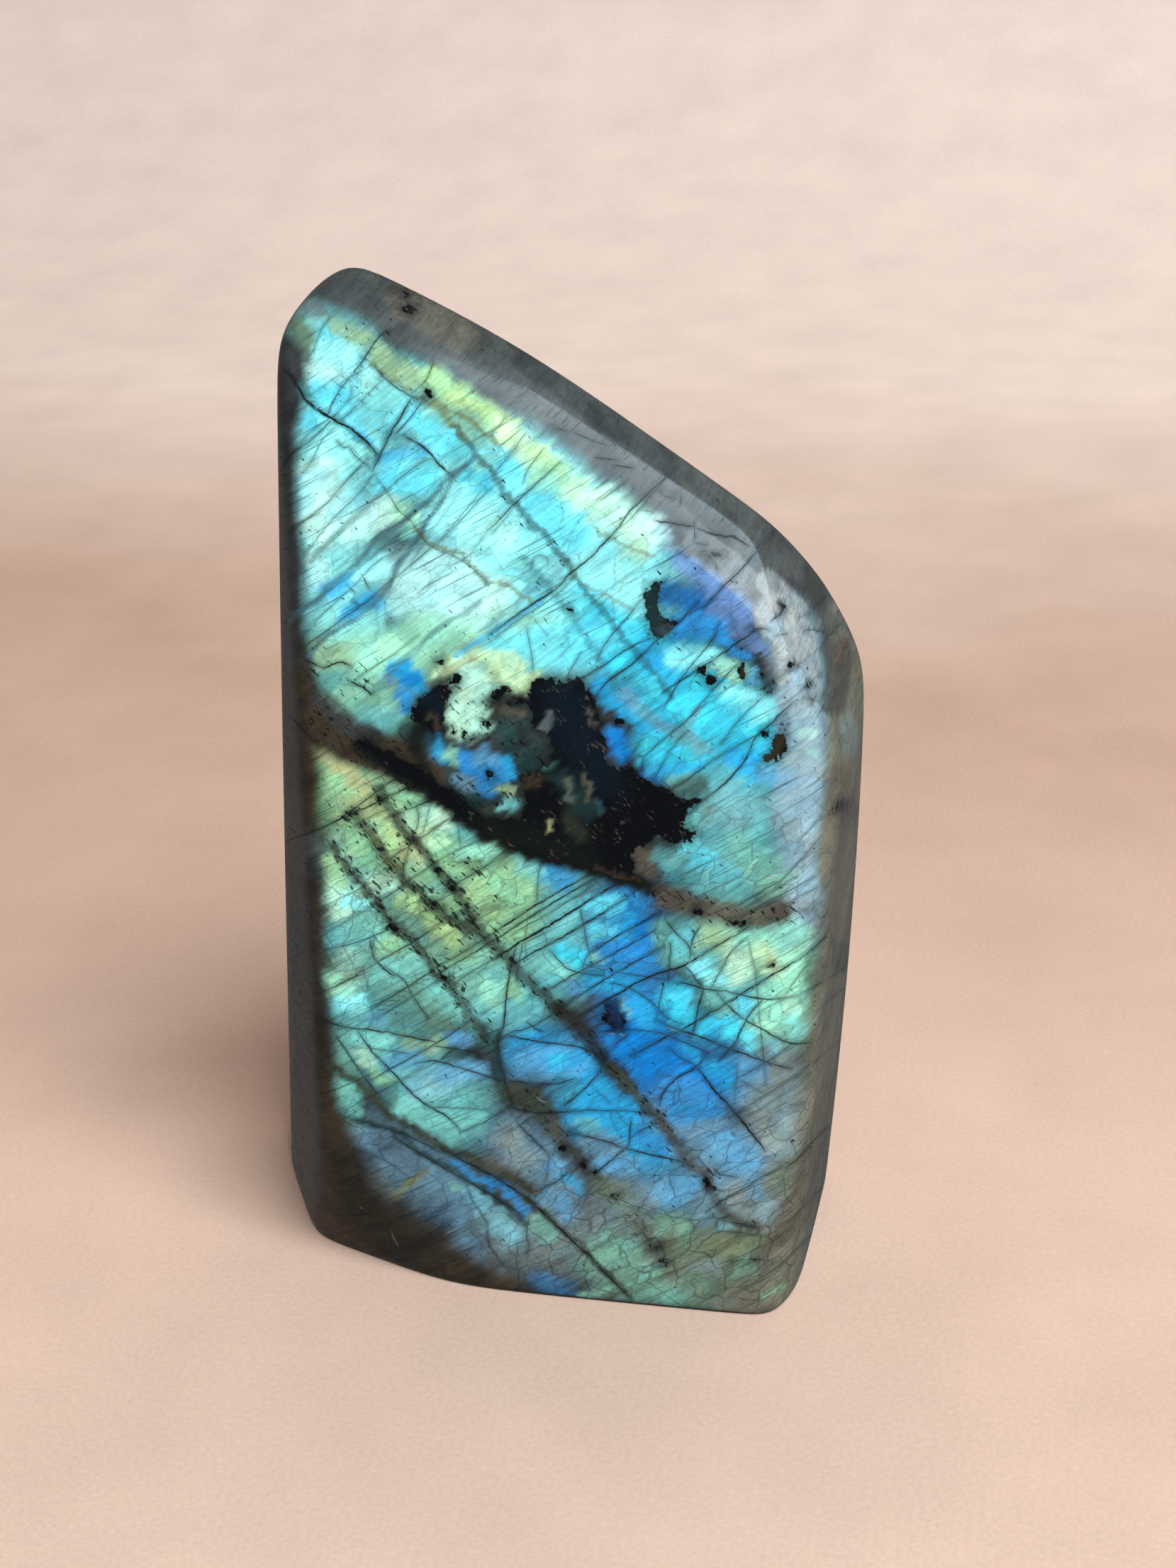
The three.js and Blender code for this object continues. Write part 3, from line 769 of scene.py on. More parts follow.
# Dull streaks and dark bands in the feldspar, laid over the flash.
bands = [
    ("dusk", 7, 0.8, [(669, 646), (648, 665), (621, 686), (585, 720), (553, 747), (522, 776),
                       (490, 805), (464, 829), (435, 855), (408, 874)]),
    ("dusk", 6, 0.8, [(655, 660), (637, 682), (616, 714), (600, 740), (590, 758), (571, 784),
                        (556, 813), (540, 839), (516, 863), (482, 884), (448, 910), (430, 930)]),
    ("dusk", 8, 0.6, [(545, 690), (505, 722), (475, 752), (437, 792)]),
    ("dusk", 7, 0.55, [(680, 847), (616, 892), (582, 918), (548, 953)]),
    ("azure", 7, 0.6, [(764, 845), (700, 887), (669, 910), (645, 926)]),
    ("teal", 9, 0.6, [(420, 545), (455, 578), (487, 598), (532, 644)]),
    ("teal", 8, 0.55, [(530, 470), (510, 510), (500, 540)]),
    ("teal", 8, 0.6, [(590, 560), (565, 590), (550, 615), (530, 650)]),
    ("steel", 8, 0.4, [(790, 800), (730, 850), (680, 890)]),
    ("olive", 5, 0.7, [(522, 510), (560, 540), (590, 562), (640, 580), (672, 600), (700, 622)]),
    ("olive", 5, 0.5, [(840, 745), (885, 772), (925, 784)]),
    ("olive", 5, 0.7, [(585, 742), (598, 764), (614, 774), (648, 782), (666, 800), (682, 818),
                       (716, 829), (751, 847)]),
    ("olive", 5, 0.45, [(820, 823), (860, 840), (890, 862)]),
    ("olive", 9, 0.6, [(612, 562), (632, 591), (653, 617)]),
    ("inkTeal", 8, 0.65, [(640, 602), (653, 617), (672, 641), (693, 667), (706, 686), (732, 717),
                           (750, 738), (769, 754), (797, 790)]),
    ("inkTeal", 8, 0.6, [(797, 790), (832, 840), (866, 884), (905, 930), (945, 980)]),
    ("teal", 9, 0.5, [(740, 790), (790, 850), (840, 920), (870, 978)]),
    ("pewter", 14, 0.5, [(880, 980), (930, 1020), (985, 1060)]),
    ("pewter", 10, 0.4, [(985, 1000), (965, 1030), (1000, 1060)]),
    # The fan of bands in the lower left.
    ("darkMoss", 12, 0.8, [(533, 1112), (560, 1158), (584, 1187), (612, 1222), (637, 1250),
                           (655, 1275), (668, 1300), (687, 1329), (720, 1359)]),
    ("darkMoss", 12, 0.75, [(498, 1146), (527, 1182), (556, 1220), (588, 1258), (612, 1277),
                           (640, 1296), (665, 1312)]),
    ("darkMoss", 11, 0.8, [(470, 1195), (487, 1223), (503, 1243), (523, 1265), (537, 1284),
                            (556, 1307), (581, 1323), (598, 1348), (614, 1370), (631, 1382),
                            (648, 1409), (664, 1434), (682, 1460)]),
    ("olive", 10, 0.4, [(515, 1170), (540, 1196), (560, 1222)]),
    ("darkMoss", 14, 0.8, [(720, 1359), (750, 1388), (790, 1425), (810, 1440)]),
    ("bark", 21, 0.9, [(790, 1424), (825, 1456), (845, 1480), (865, 1505), (885, 1530)]),
    ("darkMoss", 13, 0.9, [(865, 1505), (885, 1530), (905, 1555), (925, 1575), (945, 1600)]),
    ("flint", 13, 0.8, [(930, 1580), (945, 1600), (970, 1630), (990, 1655), (1003, 1675)]),
    ("umber", 12, 0.6, [(1000, 1672), (1015, 1700), (1045, 1722), (1070, 1730)]),
    ("inkTeal", 9, 0.7, [(701, 1459), (700, 1490), (703, 1518), (716, 1548)]),
    ("inkTeal", 13, 0.45, [(682, 1450), (705, 1500), (722, 1535)]),
    ("darkMoss", 24, 0.9, [(724, 1542), (745, 1552), (768, 1564), (780, 1590)]),
    ("flint", 15, 0.8, [(775, 1580), (796, 1610), (825, 1645), (850, 1672)]),
    ("greyGreen", 26, 0.7, [(850, 1672), (880, 1700), (906, 1732)]),
    ("flint", 18, 0.6, [(900, 1725), (930, 1760), (950, 1790)]),
    ("greyGreen", 26, 0.7, [(950, 1790), (985, 1828)]),
    ("darkMoss", 10, 0.95, [(450, 1490), (487, 1515), (525, 1549), (562, 1580), (600, 1602),
                            (625, 1615), (666, 1634), (700, 1649), (728, 1665), (759, 1681)]),
    ("clay", 13, 0.45, [(690, 1632), (720, 1655), (760, 1676)]),
    ("inkTeal", 8, 0.75, [(494, 1577), (550, 1592), (600, 1627), (637, 1652), (681, 1677), (712, 1702),
                          (741, 1721)]),
    ("darkMoss", 7, 0.85, [(744, 1690), (775, 1721), (803, 1743), (837, 1774), (869, 1806),
                           (887, 1824)]),
    # The dark seam, which widens into the black minerals.
    ("charcoal", 22, 1.0, [(520, 1060), (560, 1085), (600, 1112), (640, 1136), (680, 1166), (740, 1196),
                           (800, 1214), (850, 1230), (905, 1246)]),
    ("charcoal", 16, 0.9, [(590, 1030), (585, 1050), (600, 1080)]),
    ("clay", 22, 0.9, [(900, 1200), (912, 1232)]),
    ("charcoal", 16, 1.0, [(895, 1246), (930, 1258), (952, 1266)]),
    ("clay", 26, 0.95, [(940, 1266), (975, 1278), (1020, 1288), (1060, 1293), (1100, 1289)]),
    ("umber", 20, 0.4, [(1095, 1284), (1140, 1276)]),
    ("darkMoss", 24, 0.8, [(935, 1125), (958, 1118), (985, 1108)]),
    # Faint dark stripes in the foot.
    ("umber", 6, 0.5, [(880, 1742), (820, 1768), (744, 1802)]),
    ("umber", 6, 0.45, [(796, 1746), (744, 1782)]),
    ("umber", 6, 0.45, [(1050, 1746), (990, 1774), (930, 1802), (860, 1834)]),
    ("umber", 6, 0.4, [(950, 1748), (880, 1784), (806, 1818)]),
    ("ash", 10, 0.5, [(1100, 1646), (1140, 1630)]),
]

# Where the dark bands are full of short black splinters: half width, strength, path.
splintered = [
    (26, 0.9, [(470, 1195), (523, 1265), (556, 1307), (598, 1348), (631, 1382), (682, 1460)]),
    (30, 1.0, [(500, 1150), (556, 1220), (612, 1277), (665, 1312)]),
    (26, 0.9, [(533, 1112), (584, 1187), (637, 1250), (668, 1300), (720, 1359), (790, 1425)]),
    (24, 0.8, [(825, 1456), (885, 1530), (945, 1600), (1003, 1675)]),
    (22, 0.7, [(590, 1215), (660, 1225), (700, 1260)]),
    (26, 0.5, [(745, 1552), (825, 1645), (900, 1730)]),
    (24, 0.8, [(870, 1245), (985, 1278), (1060, 1295), (1120, 1285)]),
    (50, 0.8, [(450, 1020), (520, 1050), (600, 1100), (700, 1150)]),
    (40, 0.5, [(450, 950), (520, 975)]),
    (60, 0.6, [(640, 1000), (740, 1020), (740, 1100)]),
    (22, 0.5, [(450, 1100), (500, 1130)]),
    (14, 0.4, [(653, 617), (732, 717), (797, 790)]),
]

# Black inclusions and other minerals, as outlines that the shader gives ragged edges.
inclusions = [
    [(750, 957), (771, 957), (787, 964), (803, 963), (816, 957), (829, 976), (840, 987), (843, 1010),
     (850, 1026), (856, 1058), (858, 1079), (890, 1079), (903, 1095), (927, 1112), (945, 1117),
     (955, 1125), (990, 1130), (975, 1140), (968, 1150), (963, 1162), (983, 1177), (970, 1185),
     (955, 1190), (930, 1182), (905, 1192), (893, 1206), (898, 1226), (903, 1245), (870, 1240),
     (843, 1233), (790, 1219), (750, 1208), (698, 1186), (677, 1170), (645, 1146), (614, 1125),
     (579, 1100), (545, 1075), (500, 1052), (505, 1044), (545, 1056), (590, 1078), (640, 1120),
     (690, 1156), (735, 1156), (742, 1128), (738, 1110), (752, 1088), (775, 1078), (782, 1060),
     (772, 1040), (750, 1020), (745, 979)],
    [(600, 976), (627, 964), (645, 951), (653, 950), (645, 963), (637, 971), (636, 987), (629, 1000),
     (627, 1016), (624, 1029), (611, 1037), (593, 1026), (582, 1021), (579, 1005), (587, 987)],
    [(693, 985), (697, 974), (705, 968), (712, 968), (720, 974), (712, 978), (705, 987)],
    [(720, 992), (728, 985), (736, 980), (743, 986), (735, 990), (730, 996)],
    [(914, 825), (924, 821), (932, 823), (932, 839), (925, 854), (935, 866), (954, 880), (945, 897),
     (934, 901), (921, 899), (909, 873), (908, 842)],
    [(1101, 1035), (1108, 1040), (1113, 1049), (1111, 1066), (1094, 1073), (1073, 1082), (1071, 1073),
     (1083, 1059), (1090, 1046)],
    [(1030, 1299), (1056, 1299), (1054, 1306), (1034, 1305)],
    [(994, 1664), (999, 1664), (1004, 1679), (998, 1678)],
    [(852, 1414), (868, 1416), (872, 1432), (883, 1440), (880, 1454), (862, 1452), (850, 1438)],
]

# Single grains: place and half sizes.
grains = [
    (577, 435, 9, 8), (567, 414, 6, 3), (602, 555, 4, 4), (1047, 949, 6, 8), (1003, 959, 8, 7),
    (990, 944, 7, 6), (1078, 952, 4, 5), (1082, 971, 8, 5), (1118, 940, 3, 3), (1145, 985, 4, 4),
    (1142, 967, 3, 3), (1077, 1035, 5, 5), (1106, 1023, 4, 5), (878, 1016, 5, 5), (624, 934, 5, 5),
    (698, 960, 4, 5), (686, 1020, 6, 5), (641, 1034, 5, 5), (657, 1034, 4, 4), (669, 1041, 5, 4),
    (682, 1039, 8, 4), (690, 1092, 4, 4), (803, 862, 2, 2), (548, 879, 2, 2), (498, 1147, 7, 5),
    (535, 1130, 6, 5), (584, 1187, 6, 5), (618, 1229, 4, 4), (660, 1218, 7, 4), (612, 1277, 8, 5),
    (555, 1307, 8, 6), (638, 1252, 6, 4), (628, 1378, 7, 5), (1010, 783, 6, 3), (1103, 857, 4, 4),
    (868, 1687, 6, 3), (918, 1757, 6, 4), (936, 1779, 7, 5), (1092, 1362, 4, 2), (1187, 1138, 10, 9),
    (796, 1618, 5, 4), (822, 1640, 5, 5), (840, 1657, 4, 4), (1050, 1780, 6, 2), (985, 1287, 5, 4),
]
print("palette and patches ready")

# Fine dark fractures: width, strength, path.
fractures = {
    "upper left": [
        (6, 1.0, [(400, 520), (418, 540), (430, 562), (445, 577), (468, 590), (490, 602), (510, 617),
                  (525, 632), (533, 642)]),
        (3, 0.6, [(530, 672), (548, 697), (562, 720), (580, 735), (605, 768), (640, 785), (665, 800),
                  (685, 822)]),
        (2, 0.8, [(466, 446), (452, 468), (440, 498), (430, 510)]),
        (4, 0.8, [(575, 455), (555, 463), (534, 475), (518, 500), (498, 527), (478, 552), (462, 585)]),
        (2, 0.7, [(494, 540), (497, 552), (490, 567), (470, 587)]),
        (2.5, 0.8, [(538, 536), (515, 560), (495, 580), (482, 592)]),
        (2, 0.6, [(482, 525), (450, 550), (438, 558)]),
        (3, 0.8, [(529, 517), (545, 536), (572, 555), (592, 566)]),
        (4, 0.9, [(580, 560), (565, 588), (551, 612), (537, 640), (525, 664)]),
        (3, 0.8, [(600, 555), (588, 577), (565, 605), (553, 617)]),
        (3, 0.8, [(611, 510), (602, 535), (583, 553)]),
        (5, 0.9, [(570, 615), (598, 632), (622, 658), (637, 670)]),
        (2, 1.0, [(474, 620), (485, 632), (492, 630), (500, 642), (510, 650), (520, 658)]),
        (4, 0.8, [(422, 630), (405, 648), (398, 660)]),
        (3, 0.8, [(470, 590), (440, 620), (425, 630), (410, 642)]),
        (2, 0.7, [(462, 592), (435, 612), (425, 625)]),
        (2, 0.7, [(475, 600), (455, 620), (440, 650), (428, 665)]),
        (2.5, 0.8, [(520, 645), (490, 677), (455, 715), (410, 750)]),
        (2, 0.7, [(527, 665), (512, 690), (470, 732), (432, 780)]),
        (2, 0.7, [(613, 645), (590, 655), (560, 678), (548, 690)]),
        (2, 0.8, [(614, 768), (590, 788), (562, 812)]),
        (2, 0.7, [(614, 768), (640, 745), (670, 712), (690, 690)]),
        (2, 0.6, [(620, 765), (650, 728), (675, 698), (685, 688)]),
        (1.5, 0.5, [(690, 745), (660, 785), (620, 810), (590, 838)]),
        (2, 0.7, [(565, 773), (530, 795), (500, 825), (460, 862), (430, 893)]),
        (3, 0.8, [(551, 818), (525, 843), (490, 868), (450, 897), (420, 918)]),
        (2, 0.7, [(590, 897), (560, 920), (525, 942), (505, 955)]),
        (3, 0.8, [(512, 813), (520, 829)]),
        (3, 0.8, [(492, 828), (500, 836)]),
        (3, 0.8, [(497, 847), (508, 855)]),
        (4, 1.0, [(432, 930), (455, 941), (480, 934), (495, 940)]),
        (4, 1.0, [(494, 961), (515, 972), (525, 978)]),
        (2, 0.4, [(700, 628), (640, 690), (560, 756), (480, 822), (420, 862)]),
        (2, 0.4, [(660, 640), (600, 694), (530, 758), (470, 806)]),
        (1.5, 0.4, [(540, 700), (500, 735), (440, 790)]),
        (1.5, 0.4, [(652, 690), (612, 745), (572, 806), (530, 862), (470, 905)]),
        (1.5, 0.35, [(470, 480), (430, 540), (405, 600)]),
    ],
    "upper right": [
        (2, 0.8, [(714, 588), (704, 600), (693, 612)]),
        (2, 0.8, [(735, 605), (720, 618), (703, 630)]),
        (2, 0.8, [(742, 610), (720, 640), (700, 665)]),
        (3, 0.7, [(767, 633), (745, 662), (738, 680)]),
        (3, 0.8, [(789, 653), (765, 675), (735, 702), (705, 732), (690, 747)]),
        (2, 0.6, [(722, 720), (695, 752)]),
        (4, 0.9, [(937, 675), (893, 717), (870, 747), (832, 787), (803, 810), (785, 830), (740, 860),
                  (690, 895)]),
        (2, 0.7, [(955, 657), (930, 685), (893, 728), (870, 747)]),
        (2, 0.7, [(812, 812), (780, 843), (735, 872), (700, 898)]),
        (3, 0.8, [(902, 850), (880, 877), (857, 903), (843, 930)]),
        (4, 0.9, [(985, 850), (953, 882), (925, 905), (890, 938), (855, 963), (835, 990)]),
        (4, 0.8, [(920, 900), (885, 915), (850, 940), (815, 960), (795, 968)]),
        (2, 0.7, [(820, 920), (803, 948), (800, 958)]),
        (2, 0.7, [(743, 885), (749, 918), (753, 950)]),
        (2, 0.6, [(812, 905), (790, 925)]),
        (4, 0.9, [(1083, 888), (1070, 887), (1040, 907), (1005, 932), (973, 952), (935, 977)]),
        (3, 0.8, [(1015, 877), (1005, 903), (978, 935), (958, 962), (935, 1002)]),
        (3, 0.8, [(1037, 940), (1015, 963), (990, 992), (975, 1008)]),
        (2, 0.7, [(1038, 962), (1015, 980), (1005, 990)]),
        (2, 0.8, [(1095, 970), (1065, 993), (1035, 1025), (1018, 1048)]),
        (1.5, 0.6, [(1165, 905), (1130, 935), (1085, 965)]),
        (1.5, 0.6, [(1165, 945), (1140, 965), (1100, 1000)]),
        (2, 0.5, [(752, 872), (772, 896)]),
        (2, 0.6, [(750, 800), (752, 788), (762, 783), (773, 788), (772, 800)]),
        (1.5, 0.4, [(860, 690), (820, 730), (790, 775), (745, 820)]),
        (1.5, 0.4, [(905, 800), (860, 830), (820, 870), (790, 905)]),
        (1.5, 0.4, [(1010, 900), (960, 935), (920, 985)]),
    ],
    # Lines on the bevel, where the window's reflection lies, partly rendered and partly painted.
    "windowReflection": [
        (3, 1.0, [(1092, 748), (1075, 770), (1045, 803), (1020, 828), (993, 858)]),
        (4, 1.0, [(925, 734), (945, 738), (978, 742)]),
        (5, 1.0, [(982, 745), (1000, 751), (1020, 757), (1035, 757), (1055, 770)]),
        (3, 1.0, [(840, 645), (858, 648), (870, 649)]),
        (3, 1.0, [(866, 657), (880, 658), (893, 660)]),
        (2, 0.9, [(785, 605), (800, 608)]),
        (2, 0.9, [(810, 610), (832, 620), (855, 628)]),
        (2, 0.8, [(980, 735), (980, 760)]),
        (2, 0.8, [(961, 700), (959, 713)]),
        (2, 0.8, [(980, 766), (998, 769)]),
        (2, 0.8, [(1009, 795), (1012, 805)]),
        (2, 0.8, [(907, 720), (918, 722)]),
        (2, 0.8, [(930, 690), (938, 700), (950, 702)]),
        (3, 1.0, [(1098, 848), (1105, 860), (1090, 875)]),
        (2, 0.8, [(1125, 873), (1140, 865)]),
        (3, 0.9, [(1135, 890), (1145, 888), (1162, 892)]),
        (2, 0.8, [(1095, 897), (1115, 893)]),
        (4, 0.9, [(1150, 858), (1165, 840)]),
        (3, 0.9, [(1167, 900), (1185, 880)]),
    ],
    "middle": [
        (3, 0.9, [(410, 1010), (425, 1027), (437, 1040), (450, 1053)]),
        (3, 0.9, [(400, 1188), (440, 1173), (470, 1160), (500, 1140), (545, 1107), (570, 1092)]),
        (4, 0.9, [(470, 1160), (510, 1142), (545, 1125), (585, 1107)]),
        (2, 0.7, [(500, 1165), (530, 1148), (545, 1143)]),
        (3, 0.8, [(545, 1155), (580, 1140), (612, 1128)]),
        (2, 0.7, [(608, 1133), (603, 1150), (597, 1177)]),
        (3, 0.8, [(588, 1137), (590, 1160), (580, 1187), (571, 1215), (568, 1243)]),
        (4, 0.7, [(635, 1153), (600, 1178), (567, 1200), (550, 1212)]),
        (2, 0.6, [(645, 1160), (650, 1197)]),
        (5, 0.6, [(456, 1320), (500, 1293), (560, 1255), (620, 1213), (690, 1178)]),
        (3, 0.8, [(715, 1195), (688, 1220), (655, 1240), (625, 1262)]),
        (2, 0.7, [(943, 990), (915, 1010), (885, 1030), (878, 1040)]),
        (3, 0.8, [(998, 990), (962, 1022), (930, 1048), (908, 1070), (906, 1085)]),
        (2, 0.6, [(948, 1035), (943, 1048)]),
        (2, 0.8, [(967, 1033), (945, 1060), (928, 1090), (922, 1100)]),
        (2, 0.7, [(905, 1045), (890, 1065), (884, 1073)]),
        (3, 0.8, [(1078, 1032), (1040, 1052), (1005, 1073), (965, 1103), (945, 1113)]),
        (4, 0.9, [(1120, 990), (1090, 1018), (1065, 1042), (1052, 1070), (1020, 1108), (985, 1135),
                  (972, 1148)]),
        (3, 0.7, [(1158, 1180), (1130, 1212), (1112, 1232), (1090, 1255)]),
        (2, 0.6, [(1160, 1150), (1140, 1172), (1125, 1190)]),
        (3, 0.7, [(763, 1215), (758, 1250), (757, 1270)]),
        (2, 0.7, [(745, 1290), (742, 1318)]),
        (2, 0.8, [(818, 1280), (822, 1300), (825, 1318)]),
        (3, 0.6, [(890, 1135), (900, 1155)]),
        (2, 0.4, [(520, 1160), (480, 1190), (430, 1215)]),
        (2, 0.4, [(640, 1190), (580, 1225), (500, 1270), (450, 1300)]),
        (2, 0.35, [(540, 1075), (490, 1110), (450, 1140)]),
    ],
    "long parallels": [
        (4, 1.0, [(625, 1360), (675, 1330), (748, 1282), (800, 1252), (834, 1231)]),
        (4, 0.9, [(622, 1370), (680, 1337), (752, 1291), (802, 1261), (838, 1240)]),
        (5, 1.0, [(700, 1352), (745, 1322), (785, 1300), (820, 1277), (875, 1243)]),
        (2, 0.8, [(720, 1318), (775, 1288), (840, 1247)]),
        (4, 1.0, [(720, 1363), (760, 1340), (810, 1313), (860, 1282), (885, 1267)]),
        (4, 0.9, [(832, 1344), (875, 1318), (930, 1287)]),
        (3, 0.9, [(768, 1399), (820, 1369), (870, 1343), (925, 1312)]),
        (3, 0.9, [(785, 1425), (835, 1393), (885, 1363), (937, 1335)]),
        (4, 1.0, [(820, 1432), (870, 1403), (915, 1378), (966, 1361), (1005, 1338), (1055, 1309)]),
        (3, 0.8, [(700, 1470), (720, 1457), (750, 1448), (785, 1428)]),
        (4, 1.0, [(890, 1490), (930, 1468), (970, 1448), (1026, 1415), (1070, 1387), (1130, 1351),
                  (1166, 1320)]),
        (2, 0.6, [(720, 1488), (780, 1456)]),
        (4, 0.8, [(460, 1397), (500, 1377), (550, 1347), (585, 1327), (620, 1302)]),
        (4, 0.8, [(525, 1422), (575, 1392), (612, 1368)]),
        (3, 0.7, [(530, 1437), (580, 1407), (620, 1380)]),
        (3, 0.7, [(640, 1387), (680, 1362), (725, 1335)]),
        (2, 0.6, [(600, 1338), (645, 1312), (665, 1302)]),
        (2, 0.6, [(590, 1323), (645, 1292), (660, 1283)]),
        (2, 0.6, [(610, 1330), (665, 1298), (715, 1270)]),
        (2, 0.6, [(560, 1303), (610, 1280)]),
        (2, 0.6, [(680, 1430), (725, 1405)]),
        (2, 0.6, [(454, 1376), (512, 1340)]),
        (3, 0.8, [(520, 1525), (560, 1503), (610, 1475), (660, 1443)]),
        (2, 0.7, [(525, 1545), (565, 1525), (600, 1502)]),
        (2, 0.7, [(480, 1570), (520, 1548)]),
        (2, 0.6, [(483, 1580), (522, 1556)]),
        (3, 0.7, [(1100, 1242), (1040, 1278)]),
        (2, 0.7, [(1125, 1235), (1052, 1280)]),
        (2, 0.7, [(1148, 1237), (1065, 1285)]),
        (2, 0.6, [(1150, 1252), (1100, 1280)]),
        (2, 0.4, [(1050, 1245), (1000, 1278)]),
        (2, 0.5, [(930, 1398), (980, 1375), (1040, 1341), (1070, 1322)]),
        (3, 0.5, [(1066, 1368), (1100, 1350), (1150, 1320)]),
        (2, 0.4, [(1060, 1345), (1110, 1318), (1160, 1290)]),
        (2, 0.35, [(640, 1420), (700, 1385), (760, 1350)]),
        (2, 0.35, [(560, 1470), (620, 1435), (680, 1400)]),
        (2, 0.35, [(480, 1430), (560, 1385), (640, 1340)]),
        (2, 0.35, [(740, 1480), (800, 1450), (870, 1415)]),
        (2, 0.3, [(560, 1550), (640, 1510), (720, 1470)]),
        (2, 0.3, [(700, 1590), (780, 1545), (860, 1505)]),
        (2, 0.3, [(860, 1560), (940, 1515), (1000, 1480)]),
        (2, 0.35, [(1000, 1600), (1080, 1560), (1160, 1500)]),
        (4, 0.5, [(1116, 1408), (1160, 1386), (1195, 1362)]),
        (3, 0.45, [(1148, 1430), (1170, 1412), (1192, 1392)]),
        (3, 0.45, [(1126, 1512), (1160, 1490), (1190, 1460)]),
        (4, 0.5, [(1036, 1572), (1078, 1545), (1130, 1515)]),
        (5, 0.7, [(1110, 1646), (1122, 1638), (1140, 1618), (1166, 1590)]),
        (4, 0.5, [(1100, 1728), (1120, 1716), (1150, 1686), (1168, 1668)]),
        (4, 0.5, [(1160, 1724), (1134, 1752), (1090, 1792), (1030, 1828)]),
        (4, 0.8, [(1078, 1658), (1048, 1678), (1022, 1692), (996, 1710)]),
        (3, 0.8, [(1078, 1658), (1090, 1654), (1102, 1648)]),
        (2, 0.4, [(1050, 1700), (1090, 1678), (1110, 1664)]),
    ],
    "lower left": [
        (3, 0.8, [(460, 1340), (500, 1330), (540, 1315), (550, 1308)]),
        (5, 0.9, [(522, 1325), (528, 1352), (548, 1372), (557, 1377)]),
        (3, 0.8, [(540, 1362), (570, 1383), (580, 1402), (605, 1437)]),
        (4, 0.9, [(455, 1437), (485, 1449), (525, 1453), (570, 1461), (615, 1470)]),
        (4, 0.9, [(505, 1455), (525, 1483), (555, 1515), (590, 1550), (630, 1575), (650, 1595)]),
        (5, 0.7, [(475, 1462), (495, 1492), (515, 1522), (535, 1545)]),
        (2, 0.7, [(500, 1478), (530, 1480), (580, 1487)]),
        (3, 0.8, [(610, 1475), (665, 1484), (680, 1495)]),
        (4, 0.8, [(586, 1500), (616, 1497), (660, 1510), (710, 1526)]),
        (3, 0.7, [(638, 1480), (622, 1495)]),
        (3, 0.8, [(500, 1580), (540, 1590), (575, 1602), (620, 1625)]),
        (2, 0.7, [(600, 1562), (650, 1563), (690, 1566)]),
        (3, 0.8, [(650, 1597), (685, 1582), (710, 1567)]),
        (4, 0.9, [(728, 1335), (720, 1370), (714, 1405), (711, 1445), (702, 1465), (707, 1505),
                  (722, 1555)]),
        (2, 0.6, [(740, 1303), (742, 1345)]),
        (3, 0.7, [(738, 1330), (730, 1368), (729, 1382)]),
        (4, 1.0, [(622, 1620), (658, 1640), (696, 1660), (740, 1688), (780, 1724), (816, 1758),
                  (832, 1772), (856, 1798), (892, 1834)]),
        (4, 0.8, [(556, 1604), (590, 1626), (630, 1650), (690, 1684), (740, 1716)]),
        (3, 0.5, [(500, 1620), (540, 1636), (576, 1660)]),
        (2, 0.5, [(534, 1626), (554, 1616)]),
        (6, 0.5, [(656, 1668), (668, 1696), (686, 1724), (690, 1756), (710, 1784)]),
        (4, 0.7, [(746, 1718), (742, 1740), (746, 1754), (743, 1774)]),
        (3, 0.5, [(730, 1754), (730, 1770)]),
        (3, 0.6, [(774, 1626), (774, 1640), (769, 1668)]),
        (4, 0.8, [(764, 1678), (788, 1664), (810, 1648)]),
    ],
    "lower middle": [
        (3, 0.8, [(823, 1303), (829, 1335), (833, 1350)]),
        (3, 0.7, [(832, 1344), (825, 1355), (820, 1368)]),
        (3, 0.8, [(775, 1340), (803, 1368), (840, 1375), (857, 1378)]),
        (2.5, 0.7, [(862, 1370), (905, 1377), (950, 1383)]),
        (3, 0.8, [(862, 1386), (890, 1395), (920, 1415), (940, 1435), (965, 1447)]),
        (3, 0.7, [(947, 1330), (943, 1370), (942, 1390)]),
        (3, 0.8, [(937, 1385), (929, 1420), (926, 1438)]),
        (4, 0.8, [(940, 1300), (957, 1320), (974, 1338), (972, 1354)]),
        (4, 0.8, [(974, 1338), (980, 1318), (988, 1306)]),
        (3, 0.8, [(967, 1363), (985, 1385), (993, 1395)]),
        (4, 0.9, [(948, 1386), (970, 1388), (993, 1395), (1026, 1399), (1054, 1406), (1090, 1409),
                  (1124, 1405)]),
        (4, 0.9, [(993, 1395), (986, 1418), (981, 1442), (978, 1455)]),
        (3, 0.8, [(1054, 1322), (1032, 1342), (1017, 1368), (1004, 1393)]),
        (3, 0.8, [(845, 1455), (890, 1453), (930, 1457), (965, 1470), (998, 1485)]),
        (4, 0.9, [(925, 1438), (950, 1450), (990, 1463), (1020, 1476), (1058, 1490), (1086, 1500),
                  (1116, 1508)]),
        (4, 0.9, [(998, 1485), (985, 1503), (955, 1522), (936, 1540), (930, 1558)]),
        (3, 0.7, [(945, 1480), (966, 1496), (982, 1503)]),
        (3, 0.7, [(865, 1480), (875, 1468), (890, 1457)]),
        (5, 1.0, [(984, 1506), (1004, 1534), (1030, 1562), (1054, 1590), (1078, 1621)]),
        (4, 0.9, [(1012, 1400), (1026, 1418), (1050, 1438), (1072, 1450), (1104, 1468), (1120, 1472),
                  (1146, 1470)]),
        (4, 0.9, [(1076, 1410), (1058, 1430), (1048, 1448), (1036, 1472), (1013, 1498)]),
        (3, 0.7, [(1040, 1521), (1078, 1500), (1106, 1480), (1120, 1471)]),
        (2, 0.5, [(1040, 1504), (1038, 1540), (1036, 1558)]),
